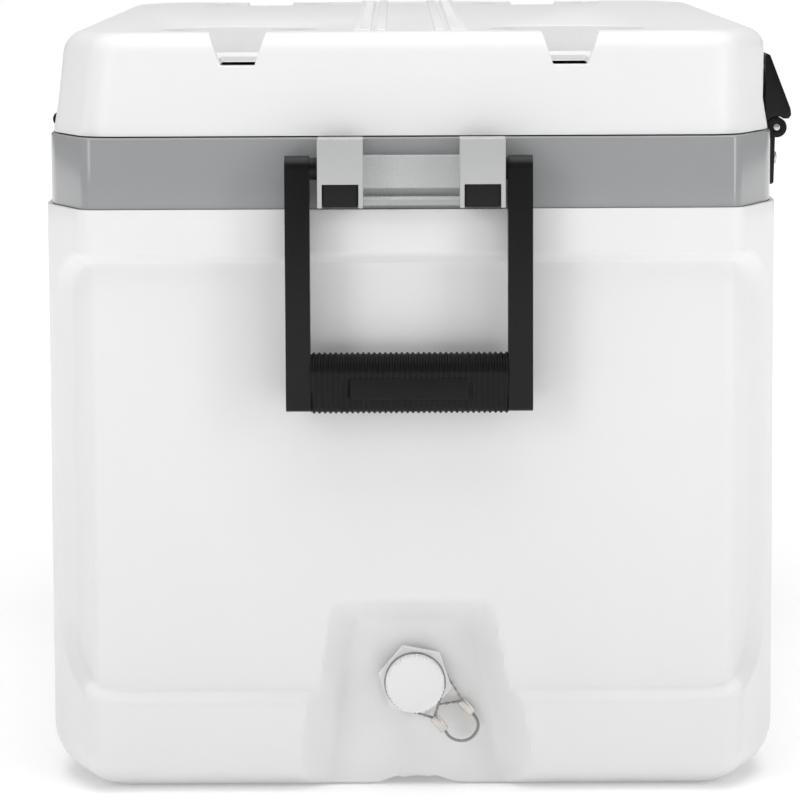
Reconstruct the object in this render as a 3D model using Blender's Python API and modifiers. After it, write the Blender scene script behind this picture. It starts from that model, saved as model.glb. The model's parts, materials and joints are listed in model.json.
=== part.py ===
"""A cooler chest with a hinged lid, two latches, two swinging handles and a tethered drain cap.

Metres, +Z up. The origin is the centre of the flat base. +X points to the latched front, +Y along
the length to the plain end, and the drain is on the -Y end.
"""

import math

import bmesh
import bpy
from mathutils import Matrix, Vector

GAP = 0.0003  # between two pieces that touch
PAST = 0.01  # how far a cutter runs past the face it opens
OVERLAP = 0.003  # how far one solid runs into another that it is joined to

# Body
BODY_HALF_X = 0.206
BODY_HALF_Y = 0.330
BODY_TOP = 0.3285
CORNER_CUT_X = 0.023  # each upright corner is cut by a flat facet of this width and length
CORNER_CUT_Y = 0.053
SIDE_BEND = 0.060  # radius where the facet meets a long side
BODY_BEND = 0.012  # radius where the facet meets an end
BASE_EDGE = 0.030
SHELL_WALL = 0.003
PANEL_DEPTH = 0.0055
PANEL_LOW = 0.0545
PANEL_HIGH = 0.3
PANEL_CORNER = 0.022
END_PANEL_HALF = 0.195
SIDE_PANEL_HALF = 0.252
ARCH_HALF = 0.0255
ARCH_RISE = 0.0068
ARCH_REACH = 0.070
ARCH_X = 0.0025

# Collar
COLLAR_HALF_X = 0.2036
COLLAR_HALF_Y = 0.3276
COLLAR_TOP = 0.368
COLLAR_WALL = 0.003
COLLAR_BEND = 0.008
SKIRT_INSET = 0.001
SKIRT_DROP = 0.012

# Liner
ROOM_HALF_X = 0.161
ROOM_HALF_Y = 0.280
ROOM_FLOOR = 0.05
ROOM_CORNER = 0.040
ROOM_EDGE = 0.012
LINER_WALL = 0.0025
SUMP_FLOOR = 0.045
SUMP_HALF_X = 0.032
SUMP_LENGTH = 0.060
SUMP_TOP = 0.084
SUMP_CORNER = 0.006

# Lid
LID_BOTTOM = 0.3688
LID_WAIST = 0.3855
LID_TOP = 0.4255
LID_BEND = 0.020
LID_RIM = 0.012
LID_WALL = 0.003
LID_SIZES = {  # height: (back X, front X, half of Y)
    LID_BOTTOM: (-0.2022, 0.2022, 0.3250),
    LID_WAIST: (-0.1995, 0.1996, 0.3236),
    LID_TOP: (-0.1950, 0.2004, 0.3195),
}
PAN_BOTTOM = 0.3718
PAN_WALL = 0.0025
PLUG_BOTTOM = 0.3565
PLUG_HALF_X = 0.155
PLUG_HALF_Y = 0.274
PLUG_CORNER = 0.034
SEAL_HALF_X = 0.178
SEAL_HALF_Y = 0.297
SEAL_WIDTH = 0.008
CUP_RADIUS = 0.045
CUP_FLOOR = 0.4105
CUP_X = (-0.0958, 0.0882)
CUP_Y = 0.264
NOTCH_FLOOR = 0.4070
NOTCH_HALF_LOW = 0.0095
NOTCH_HALF_HIGH = 0.016
RULER_STRIPS = ((0.0135, 0.0195), (0.022, 0.032))  # distances from the middle, on both sides
STRIP_HALF_LENGTH = 0.300
STRIP_HEIGHT = 0.001
KEEPER_LOW = 0.3945
KEEPER_HIGH = 0.4005
KEEPER_FACE = 0.2032
KEEPER_HALF = 0.020

# Handles: pivot at the ends, with -Y pointing out of the drain end
PIVOT_Y = 0.3410
PIVOT_Z = 0.3516
ARM_INNER = 0.0544
ARM_OUTER = 0.0680
ARM_RADIUS = 0.0073
ARM_BOTTOM = 0.218
STUB_RADIUS = 0.0062
STUB_INNER = 0.031
BAR_HALF_Y = 0.0045
BAR_LOW = 0.2235
BAR_HIGH = 0.2425
GRIP_TOP = 0.2505
GRIP_BOTTOM = 0.2165
GRIP_HALF = 0.0538
GRIP_ROLL = 0.0095
GRIP_FOOT = 0.0065
HANDLE_SHIFT = -0.0015  # the handle rests against one side of its play between the lugs
LUG_INNER = 0.0265
LUG_OUTER = 0.0515
LUG_WALL = 0.0025
LUG_FRONT = 0.3505
LUG_TOP = 0.3685
LUG_BOTTOM = 0.3305
LUG_LIP = 0.3435
BACK_PLATE = 0.003
BRIDGE_LOW = 0.3405
BRIDGE_HIGH = 0.3585
BRIDGE_FRONT = 0.337
RIB_Z = 0.335
RIB_HALF = 0.001

# Latches and hinges: two of each, the same distance either side of the middle
LATCH_Y = 0.200
LATCH_HALF = 0.030
LATCH_AXIS_X = 0.2105
LATCH_AXIS_Z = 0.3668
SEAM_Z = 0.3685  # height of the hinge axis
BARREL_RADIUS = 0.0058
LATCH_PIN_RADIUS = 0.0020
LATCH_KNUCKLE = 0.012
TURN_ROOM = 0.0005
LEVER_BACK = 0.2040
LEVER_TOP = 0.4088
LEVER_WALL = 0.0026
FLAP_TIP_X = 0.2188
FLAP_TIP_Z = 0.3718
LATCH_PLATE_LOW = 0.3343
LATCH_SCREW_Z = 0.3488
LATCH_SCREW_Y = 0.019
HINGE_Y = 0.11
HINGE_HALF = 0.030
HINGE_AXIS_X = -0.2086
HINGE_RADIUS = 0.0045
HINGE_PIN_RADIUS = 0.0020
HINGE_KNUCKLE = 0.014
LEAF_THICK = 0.0025
LEAF_LOW = 0.336
LEAF_HIGH = 0.3995
HINGE_SCREW_Y = 0.020
BODY_LEAF_SCREW_Z = 0.3465
LID_LEAF_SCREW_Z = 0.3895
SCREW_RADIUS = 0.0018
SCREW_HEAD_RADIUS = 0.0036
SCREW_HEAD = 0.0018
SCREW_BITE = 0.004  # into the foam behind the wall

# Drain
DRAIN_X = 0.001
DRAIN_Z = 0.0616
RECESS_BACK = 0.308
RECESS_SIDES = ((-0.0494, 0.0473, 0.1157), (-0.0655, 0.0700, 0.0))  # low X, high X, height, at the end face
RECESS_DRAFT = 0.018
RECESS_CORNER = 0.013
RECESS_SLOPE = 0.0225 / 0.022
SPOUT_RADIUS = 0.0115
SPOUT_BORE = 0.009
HUB_RADIUS = 0.0155
NECK_RADIUS = 0.0130  # at the root of the thread
HEX_RADIUS = 0.021
HEX_TURN = math.radians(19)
NUT_RADIUS = 0.0155
CAP_RADIUS = 0.0165
CAP_BORE = 0.0144
GROOVE_RADIUS = 0.0153
# Places along the drain's axis, as distances from the middle of the chest
GASKET_FRONT = 0.3103
HUB_BACK = 0.3106
HEX_BACK = 0.3131
HEX_FRONT = 0.3181
NECK_END = 0.3250
CAP_OPEN = 0.3185
CAP_CEILING = 0.3267
CAP_FACE = 0.3291
GROOVE_BACK = 0.3202
GROOVE_FRONT = 0.3226
SPOUT_INSIDE = 0.2735
NUT_INSIDE = 0.2747

# Tether
CABLE_RADIUS = 0.0009
SPOUT_EYE_Y = -0.3119
CAP_EYE_Y = -0.3214
FERRULE_LENGTH = 0.010
FERRULE_HALF_WIDTH = 0.0026
FERRULE_HALF_DEPTH = 0.0015
SPOUT_FERRULE = (0.0300, 0.0455, math.radians(48))  # X, Z, slope down to the right
CAP_FERRULE = (0.0146, 0.0380, math.radians(52))
TETHER_LOW_POINTS = (  # X and Z of the free bend, from the spout's ferrule to the cap's
    (0.0355, 0.0391),
    (0.0366, 0.0358),
    (0.0357, 0.0322),
    (0.0326, 0.0288),
    (0.0281, 0.0274),
    (0.0233, 0.0284),
    (0.0199, 0.0308),
)

ENDS = (("drain_end", -1), ("plain_end", 1))

COLOURS = {  # base colour, roughness, metallic
    "white_shell": ((0.86, 0.86, 0.86), 0.45, 0.0),
    "liner_white": ((0.83, 0.84, 0.85), 0.35, 0.0),
    "insulation": ((0.80, 0.74, 0.52), 0.90, 0.0),
    "collar_grey": ((0.33, 0.34, 0.35), 0.25, 0.0),
    "bracket_grey": ((0.47, 0.48, 0.49), 0.35, 0.0),
    "black_plastic": ((0.012, 0.012, 0.013), 0.45, 0.0),
    "black_rubber": ((0.018, 0.018, 0.018), 0.75, 0.0),
    "stainless": ((0.60, 0.59, 0.57), 0.30, 1.0),
    "cable_steel": ((0.36, 0.35, 0.33), 0.40, 1.0),
}


def clear_scene():
    for obj in list(bpy.data.objects):
        bpy.data.objects.remove(obj)


def new_collection(name):
    collection = bpy.data.collections.new(name)
    bpy.context.scene.collection.children.link(collection)
    return collection


def make_material(name):
    colour, roughness, metallic = COLOURS[name]
    material = bpy.data.materials.new(name)
    material.use_nodes = True
    shader = material.node_tree.nodes["Principled BSDF"]
    shader.inputs["Base Color"].default_value = (*colour, 1.0)
    shader.inputs["Roughness"].default_value = roughness
    shader.inputs["Metallic"].default_value = metallic
    return material


clear_scene()
CHEST = new_collection("cooler_chest")
CUTTERS = new_collection("cutters")
MATERIALS = {name: make_material(name) for name in COLOURS}


def place_mesh(name, mesh, material):
    """An object of this mesh: a part if it has a material, and otherwise a hidden cutter."""
    mesh.shade_smooth()
    mesh.set_sharp_from_angle(angle=math.radians(32))
    obj = bpy.data.objects.new(name, mesh)
    if material:
        mesh.materials.append(MATERIALS[material])
        CHEST.objects.link(obj)
    else:
        CUTTERS.objects.link(obj)
        obj.hide_render = True
        obj.display_type = "WIRE"
    return obj


def finish_bmesh(name, bm, material):
    mesh = bpy.data.meshes.new(name)
    bmesh.ops.recalc_face_normals(bm, faces=bm.faces)
    bm.to_mesh(mesh)
    bm.free()
    return place_mesh(name, mesh, material)


def cube_between(low, high):
    bm = bmesh.new()
    bmesh.ops.create_cube(bm, size=1)
    size = Vector(high) - Vector(low)
    middle = (Vector(high) + Vector(low)) / 2
    bmesh.ops.scale(bm, vec=size, verts=bm.verts)
    bmesh.ops.translate(bm, vec=middle, verts=bm.verts)
    return bm


def bevel(bm, edges, offset, segments):
    bmesh.ops.bevel(
        bm, geom=edges, offset=offset, segments=segments, profile=0.5, affect="EDGES", clamp_overlap=False
    )


def upright_edges(bm):
    return [e for e in bm.edges if abs(e.verts[0].co.z - e.verts[1].co.z) > 1e-5]


def rim_edges(bm, height):
    return [e for e in bm.edges if all(abs(v.co.z - height) < 1e-6 for v in e.verts)]


def box(name, low, high, material=None):
    return finish_bmesh(name, cube_between(low, high), material)


def rounded_box(
    name, half_x, half_y, low, high, corner, bottom=0.0, segments=6, material=None, x=0.0, y=0.0
):
    """A box with rounded upright corners and, where asked, a rounded bottom edge."""
    bm = cube_between((x - half_x, y - half_y, low), (x + half_x, y + half_y, high))
    bevel(bm, upright_edges(bm), corner, segments)
    if bottom:
        bevel(bm, rim_edges(bm, low), bottom, 3)
    return finish_bmesh(name, bm, material)


def cylinder(name, radius, start, end, sides=24, turn=0.0, material=None):
    """A round or many-sided bar from one point to another."""
    start, end = Vector(start), Vector(end)
    along = end - start
    bm = bmesh.new()
    place = Matrix.Translation((start + end) / 2) @ along.to_track_quat("Z", "Y").to_matrix().to_4x4()
    bmesh.ops.create_cone(
        bm,
        cap_ends=True,
        segments=sides,
        radius1=radius,
        radius2=radius,
        depth=along.length,
        matrix=place @ Matrix.Rotation(turn, 4, "Z"),
    )
    return finish_bmesh(name, bm, material)


# For an outline drawn in two axes, the matrix that stands it up across the third
ACROSS = {
    "X": Matrix(((0, 0, 1, 0), (1, 0, 0, 0), (0, 1, 0, 0), (0, 0, 0, 1))),
    "Y": Matrix(((1, 0, 0, 0), (0, 0, -1, 0), (0, 1, 0, 0), (0, 0, 0, 1))),
    "Z": Matrix.Identity(4),
}


def extrusion(name, outline, across, low, high, material=None):
    """A flat outline with thickness. Across X it is drawn in Y and Z, and across Y in X and Z."""
    curve = bpy.data.curves.new(name, "CURVE")
    curve.dimensions = "2D"
    curve.fill_mode = "BOTH"
    curve.extrude = (high - low) / 2
    spline = curve.splines.new("POLY")
    spline.points.add(len(outline) - 1)
    for point, (u, v) in zip(spline.points, outline):
        point.co = (u, v, 0, 1)
    spline.use_cyclic_u = True
    mesh = mesh_of_curve(name, curve)
    offset = Vector((0, 0, 0))
    offset["XYZ".index(across)] = (low + high) / 2
    mesh.transform(Matrix.Translation(offset) @ ACROSS[across])
    return place_mesh(name, mesh, material)


def mesh_of_curve(name, curve):
    """The curve's surface as a mesh with its caps welded on."""
    guide = bpy.data.objects.new(name + "_guide", curve)
    bpy.context.scene.collection.objects.link(guide)
    bpy.context.view_layer.update()
    graph = bpy.context.evaluated_depsgraph_get()
    mesh = bpy.data.meshes.new_from_object(guide.evaluated_get(graph))
    mesh.name = name
    bpy.data.objects.remove(guide)
    bm = bmesh.new()
    bm.from_mesh(mesh)
    bmesh.ops.remove_doubles(bm, verts=bm.verts, dist=1e-6)
    bmesh.ops.recalc_face_normals(bm, faces=bm.faces)
    bm.to_mesh(mesh)
    bm.free()
    return mesh


def turned(name, profile, y, material, x=DRAIN_X, z=DRAIN_Z, steps=28):
    """A closed profile of (radius, distance along -Y) points, turned round the drain's axis."""
    mesh = bpy.data.meshes.new(name)
    count = len(profile)
    points = [(radius, 0, height) for radius, height in profile]
    mesh.from_pydata(points, [(i, (i + 1) % count) for i in range(count)], [])
    obj = place_mesh(name, mesh, material)
    screw = obj.modifiers.new("turn", "SCREW")
    screw.axis = "Z"
    screw.steps = steps
    screw.render_steps = steps
    screw.use_merge_vertices = True
    screw.merge_threshold = 1e-6
    screw.use_smooth_shade = True
    obj.location = (x, y, z)
    obj.rotation_euler = (math.radians(90), 0, 0)
    return obj


def tube(name, points, radius, material):
    """A bent wire through the points, with closed ends."""
    curve = bpy.data.curves.new(name, "CURVE")
    curve.dimensions = "3D"
    curve.bevel_depth = radius
    curve.bevel_resolution = 2
    curve.use_fill_caps = True
    spline = curve.splines.new("POLY")
    spline.points.add(len(points) - 1)
    for point, place in zip(spline.points, points):
        point.co = (*place, 1)
    obj = bpy.data.objects.new(name, curve)
    curve.materials.append(MATERIALS[material])
    CHEST.objects.link(obj)
    return obj


def combine(obj, operation, *others):
    for other in others:
        modifier = obj.modifiers.new(other.name, "BOOLEAN")
        modifier.operation = operation
        modifier.solver = "EXACT"
        modifier.object = other
    return obj


def cut(obj, *others):
    return combine(obj, "DIFFERENCE", *others)


def join(obj, *others):
    return combine(obj, "UNION", *others)


def hang_on(empty, *pieces):
    for piece in pieces:
        piece.parent = empty
        piece.matrix_parent_inverse = empty.matrix_world.inverted()


def joint_empty(name, location):
    empty = bpy.data.objects.new(name, None)
    empty.location = location
    empty.empty_display_size = 0.03
    CHEST.objects.link(empty)
    bpy.context.view_layer.update()
    return empty


def arc(centre_u, centre_v, radius, start, end, count):
    """Points on an arc between two angles in degrees, both ends included."""
    step = math.radians(end - start) / (count - 1)
    return [
        (
            centre_u + radius * math.cos(math.radians(start) + i * step),
            centre_v + radius * math.sin(math.radians(start) + i * step),
        )
        for i in range(count)
    ]


def rounded_rectangle(half, low, high, radius, count=5):
    points = []
    corners = ((half, high, 0), (-half, high, 90), (-half, low, 180), (half, low, 270))
    for u, v, start in corners:
        centre_u = u - math.copysign(radius, u)
        centre_v = v - radius if v == high else v + radius
        points += arc(centre_u, centre_v, radius, start, start + 90, count)
    return points


def fillet(before, corner, after, radius, count):
    """Points of the arc that rounds a corner, from the side of before to the side of after."""
    back = (before - corner).normalized()
    ahead = (after - corner).normalized()
    half = math.acos(back.dot(ahead)) / 2
    centre = corner + (back + ahead).normalized() * radius / math.sin(half)
    start = corner + back * radius / math.tan(half) - centre
    end = corner + ahead * radius / math.tan(half) - centre
    return [centre + radius * start.slerp(end, i / (count - 1)) for i in range(count)]


def plan(half_x, half_y, inset, bend, middle_x=0.0):
    """The chest's outline from above, moved inwards by inset: each corner is a facet with rounded bends."""
    facet = math.hypot(CORNER_CUT_X, CORNER_CUT_Y)
    line = CORNER_CUT_Y * (half_x - CORNER_CUT_X) + CORNER_CUT_X * half_y - inset * facet
    side_x, end_y = half_x - inset, half_y - inset
    side_bend = Vector((side_x, (line - CORNER_CUT_Y * side_x) / CORNER_CUT_X))
    end_bend = Vector(((line - CORNER_CUT_X * end_y) / CORNER_CUT_Y, end_y))
    sharpest = 0.001
    quarter = fillet(Vector((side_x, 0)), side_bend, end_bend, SIDE_BEND - inset, 4)
    quarter += fillet(side_bend, end_bend, Vector((0, end_y)), max(bend - inset, sharpest), 5)
    quarter = [(p.x, p.y) for p in quarter]
    points = quarter + [(-x, y) for x, y in reversed(quarter)]
    points += [(-x, -y) for x, y in quarter] + [(x, -y) for x, y in reversed(quarter)]
    return [(x + middle_x, y) for x, y in points]


def loft(name, rings, material=None):
    """A closed solid through outlines at rising heights, all with the same number of points."""
    bm = bmesh.new()
    loops = [[bm.verts.new((x, y, height)) for x, y in outline] for height, outline in rings]
    bm.faces.new(reversed(loops[0]))
    bm.faces.new(loops[-1])
    count = len(loops[0])
    for below, above in zip(loops, loops[1:]):
        for i in range(count):
            j = (i + 1) % count
            bm.faces.new((below[i], below[j], above[j], above[i]))
    return finish_bmesh(name, bm, material)


def plan_prism(name, half_x, half_y, low, high, inset, bend, material=None):
    outline = plan(half_x, half_y, inset, bend)
    return loft(name, [(low, outline), (high, outline)], material)


# ------------------------------------------------------------------ body


def panel_outline(half, grow):
    return rounded_rectangle(half + grow, PANEL_LOW - grow, PANEL_HIGH + grow, PANEL_CORNER + grow)


def end_panel(grow, sign):
    """The shallow panel in an end, which follows the wall round the corners."""
    reach = sorted((sign * (BODY_HALF_Y + PAST), sign * (BODY_HALF_Y - CORNER_CUT_Y - PAST)))
    panel = extrusion(f"end_panel_{sign}_{grow}", panel_outline(END_PANEL_HALF, grow), "Y", *reach)
    floor = plan_prism(
        f"end_panel_floor_{sign}_{grow}",
        BODY_HALF_X,
        BODY_HALF_Y,
        -PAST,
        BODY_TOP + PAST,
        PANEL_DEPTH + grow,
        BODY_BEND,
    )
    return cut(panel, floor)


def side_panel(grow, sign):
    reach = sorted((sign * (BODY_HALF_X + PAST), sign * (BODY_HALF_X - PANEL_DEPTH - grow)))
    return extrusion(f"side_panel_{sign}_{grow}", panel_outline(SIDE_PANEL_HALF, grow), "X", *reach)


def drain_recess(grow):
    """The pocket round the drain: it widens downwards, its ceiling slopes, and it is open at the base."""
    front = BODY_HALF_Y + PAST
    back = RECESS_BACK - grow
    (top_low, top_high, top), (foot_low, foot_high, _) = RECESS_SIDES
    bm = cube_between((-1, -front, -1), (1, -back, 1))
    for vertex in bm.verts:
        depth = BODY_HALF_Y + vertex.co.y
        draft = RECESS_DRAFT * depth / (BODY_HALF_Y - RECESS_BACK)
        ceiling = top - depth * RECESS_SLOPE + grow * math.sqrt(2)
        height = ceiling if vertex.co.z > 0 else -PAST
        share = (top - height) / top
        if vertex.co.x < 0:
            vertex.co.x = top_low + (foot_low - top_low) * share + draft - grow
        else:
            vertex.co.x = top_high + (foot_high - top_high) * share - draft + grow
        vertex.co.z = height
    sides_top = [
        edge
        for edge in bm.edges
        if min(v.co.z for v in edge.verts) > 0.05 and abs(edge.verts[0].co.x - edge.verts[1].co.x) < 0.02
    ]
    bevel(bm, sides_top, RECESS_CORNER + grow, 3)
    return finish_bmesh(f"drain_recess_{grow}", bm, None)


def base_arch(grow):
    radius = (ARCH_HALF**2 + ARCH_RISE**2) / (2 * ARCH_RISE)
    height = ARCH_RISE - radius
    return cylinder(
        f"base_arch_{grow}",
        radius + grow,
        (ARCH_X, -BODY_HALF_Y - PAST, height),
        (ARCH_X, -BODY_HALF_Y + ARCH_REACH + grow, height),
        sides=64,
    )


def body_form(name, grow, high, material=None):
    """The outside of the body moved inwards by grow, with all its panels and pockets."""
    edge = BASE_EDGE - grow
    rings = []
    for degrees in (0, 25, 45, 65, 90):
        turn = math.radians(degrees)
        inset = grow + edge * (1 - math.sin(turn))
        height = grow + edge * (1 - math.cos(turn))
        rings.append((height, plan(BODY_HALF_X, BODY_HALF_Y, inset, BODY_BEND)))
    rings.append((high, rings[-1][1]))
    form = loft(name, rings, material)
    panels = [end_panel(grow, sign) for sign in (-1, 1)] + [side_panel(grow, sign) for sign in (-1, 1)]
    return cut(form, *panels, drain_recess(grow), base_arch(grow))


def liner_form(name, grow, high, material=None):
    """The room inside the chest, made larger by grow, with the sump in front of the drain."""
    room = rounded_box(
        name,
        ROOM_HALF_X + grow,
        ROOM_HALF_Y + grow,
        ROOM_FLOOR - grow,
        high,
        ROOM_CORNER + grow,
        ROOM_EDGE + grow,
        material=material,
    )
    sump = rounded_box(
        name + "_sump",
        SUMP_HALF_X + grow,
        SUMP_LENGTH / 2 + grow,
        SUMP_FLOOR - grow,
        SUMP_TOP,
        SUMP_CORNER + grow,
        segments=3,
        x=DRAIN_X,
        y=SUMP_LENGTH / 2 - ROOM_HALF_Y,
    )
    return join(room, sump)


def drain_hole(name, radius):
    return cylinder(name, radius, (DRAIN_X, -BODY_HALF_Y, DRAIN_Z), (DRAIN_X, -SPOUT_INSIDE + PAST, DRAIN_Z))


def make_body():
    """The shell, the liner and the foam between them, which the latches' and hinges' screws reach."""
    hole = drain_hole("drain_hole", SPOUT_RADIUS + GAP)
    shell = body_form("body_shell", 0.0, BODY_TOP, "white_shell")
    cut(shell, body_form("shell_hollow", SHELL_WALL, BODY_TOP + PAST), hole)

    liner = liner_form("body_liner", LINER_WALL, COLLAR_TOP, "liner_white")
    cut(liner, liner_form("liner_hollow", 0.0, COLLAR_TOP + PAST), hole)

    skirt_bottom = BODY_TOP - SKIRT_DROP
    foam = body_form("body_foam", SHELL_WALL + GAP, skirt_bottom - GAP, "insulation")
    inside = COLLAR_WALL + GAP
    neck = plan_prism(
        "foam_neck",
        COLLAR_HALF_X,
        COLLAR_HALF_Y,
        skirt_bottom - PAST,
        COLLAR_TOP - inside,
        SKIRT_INSET + inside,
        COLLAR_BEND,
    )
    join(foam, neck)
    cut(foam, liner_form("foam_hollow", LINER_WALL + GAP, COLLAR_TOP + PAST), hole)
    return foam


def make_collar():
    """The grey ring: a wall, a deck that closes the foam, and a skirt that plugs into the shell."""
    sizes = (COLLAR_HALF_X, COLLAR_HALF_Y)
    skirt_bottom = BODY_TOP - SKIRT_DROP
    inside = SKIRT_INSET + COLLAR_WALL
    collar = plan_prism("collar", *sizes, BODY_TOP + GAP, COLLAR_TOP, 0.0, COLLAR_BEND, "collar_grey")
    skirt = plan_prism("collar_skirt", *sizes, skirt_bottom, BODY_TOP + PAST, SKIRT_INSET, COLLAR_BEND)
    hollow = plan_prism(
        "collar_hollow", *sizes, skirt_bottom - PAST, COLLAR_TOP - COLLAR_WALL, inside, COLLAR_BEND
    )
    opening = rounded_box(
        "collar_opening",
        ROOM_HALF_X + LINER_WALL + GAP,
        ROOM_HALF_Y + LINER_WALL + GAP,
        COLLAR_TOP - PAST,
        COLLAR_TOP + PAST,
        ROOM_CORNER + LINER_WALL + GAP,
    )
    return cut(join(collar, skirt), hollow, opening)


# ------------------------------------------------------------------ lid


def lid_size_at(height):
    """Half of X, half of Y and the middle X of the lid at a height."""
    low, high = (LID_BOTTOM, LID_WAIST) if height < LID_WAIST else (LID_WAIST, LID_TOP)
    share = max((height - low) / (high - low), 0)
    back, front, half_y = (a * (1 - share) + b * share for a, b in zip(LID_SIZES[low], LID_SIZES[high]))
    return (front - back) / 2, half_y, (front + back) / 2


def lid_block(name, grow, low, material=None):
    """The outside of the lid moved inwards by grow: drafted sides, cut corners and a round top rim."""

    def ring(height, inset):
        half_x, half_y, middle_x = lid_size_at(height)
        return height, plan(half_x, half_y, inset, LID_BEND, middle_x)

    rings = [ring(LID_BOTTOM, grow), ring(LID_WAIST, grow)]
    if low < LID_BOTTOM:
        rings.insert(0, (low, rings[0][1]))
    edge = LID_RIM - grow
    for degrees in (0, 30, 60, 90):
        turn = math.radians(degrees)
        height = LID_TOP - LID_RIM + edge * math.sin(turn)
        rings.append(ring(height, grow + edge * (1 - math.cos(turn))))
    return loft(name, rings, material)


def cup_recesses(grow):
    """The four cup rests, each with a spill notch through the end rim."""
    cutters = []
    high = LID_TOP + PAST
    slope = (NOTCH_HALF_HIGH - NOTCH_HALF_LOW) / (LID_TOP - NOTCH_FLOOR)
    low = NOTCH_FLOOR - grow
    half_low = NOTCH_HALF_LOW + grow
    half_high = half_low + slope * (high - low)
    for x in CUP_X:
        outline = ((x - half_low, low), (x + half_low, low), (x + half_high, high), (x - half_high, high))
        for sign in (-1, 1):
            name = f"cup_{x}_{sign}_{grow}"
            floor = CUP_FLOOR - grow
            foot, top = (x, sign * CUP_Y, floor), (x, sign * CUP_Y, high)
            cup = cylinder(name, CUP_RADIUS + grow, foot, top, sides=32)
            reach = sorted((sign * CUP_Y, sign * (LID_SIZES[LID_BOTTOM][2] + PAST)))
            notch = extrusion(name + "_notch", outline, "Y", *reach)
            cutters.append(join(cup, notch))
    return cutters


def ruler_strips():
    strips = []
    for side in (-1, 1):
        for inner, outer in RULER_STRIPS:
            low, high = sorted((side * inner, side * outer))
            strips.append(
                box(
                    f"ruler_strip_{low}",
                    (low, -STRIP_HALF_LENGTH, LID_TOP - LID_WALL / 2),
                    (high, STRIP_HALF_LENGTH, LID_TOP + STRIP_HEIGHT),
                )
            )
    return strips


def latch_keepers():
    front = LID_SIZES[LID_WAIST][1]
    return [
        box(
            f"keeper_{end}",
            (front - LID_WALL / 2, sign * LATCH_Y - KEEPER_HALF, KEEPER_LOW),
            (KEEPER_FACE, sign * LATCH_Y + KEEPER_HALF, KEEPER_HIGH),
        )
        for end, sign in ENDS
    ]


def make_lid():
    shell = lid_block("lid_shell", 0.0, LID_BOTTOM, "white_shell")
    cut(shell, *cup_recesses(0.0))
    join(shell, *ruler_strips(), *latch_keepers())
    hollow = cut(lid_block("lid_hollow", LID_WALL, LID_BOTTOM - PAST), *cup_recesses(LID_WALL))
    cut(shell, hollow)

    half_x, half_y, _ = lid_size_at(LID_WAIST)
    inset = LID_WALL + GAP
    pan_top = PAN_BOTTOM + PAN_WALL
    pan_middle = PAN_BOTTOM + PAN_WALL / 2
    pan = plan_prism("lid_liner", half_x, half_y, PAN_BOTTOM, pan_top, inset, LID_BEND, "liner_white")
    plug = rounded_box("lid_plug", PLUG_HALF_X, PLUG_HALF_Y, PLUG_BOTTOM, pan_middle, PLUG_CORNER)
    plug_hollow = rounded_box(
        "lid_plug_hollow",
        PLUG_HALF_X - PAN_WALL,
        PLUG_HALF_Y - PAN_WALL,
        PLUG_BOTTOM + PAN_WALL,
        pan_top + PAST,
        PLUG_CORNER - PAN_WALL,
    )
    cut(join(pan, plug), plug_hollow)

    foam = lid_block("lid_foam", inset, LID_BOTTOM - PAST, "insulation")
    below_pan = box("below_pan", (-BODY_HALF_X, -BODY_HALF_Y, 0), (BODY_HALF_X, BODY_HALF_Y, pan_top + GAP))
    cut(foam, *cup_recesses(inset), below_pan)
    fill_inset = PAN_WALL + GAP
    fill = rounded_box(
        "lid_plug_fill",
        PLUG_HALF_X - fill_inset,
        PLUG_HALF_Y - fill_inset,
        PLUG_BOTTOM + fill_inset,
        pan_top + PAST,
        PLUG_CORNER - fill_inset,
    )
    join(foam, fill)

    seal_low = COLLAR_TOP + GAP
    seal_high = PAN_BOTTOM - GAP
    corner = ROOM_CORNER + SEAL_WIDTH
    seal = rounded_box(
        "lid_gasket", SEAL_HALF_X, SEAL_HALF_Y, seal_low, seal_high, corner, material="black_rubber"
    )
    seal_room = rounded_box(
        "gasket_hollow",
        SEAL_HALF_X - SEAL_WIDTH,
        SEAL_HALF_Y - SEAL_WIDTH,
        seal_low - PAST,
        seal_high + PAST,
        corner - SEAL_WIDTH,
    )
    cut(seal, seal_room)
    return [shell, pan, foam, seal]


# ------------------------------------------------------------------ handles


def end_place(piece, sign):
    """Turns a piece made for the drain end to the plain end, when sign is 1."""
    piece.matrix_world = Matrix.Rotation(math.pi if sign > 0 else 0, 4, "Z") @ piece.matrix_world


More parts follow.
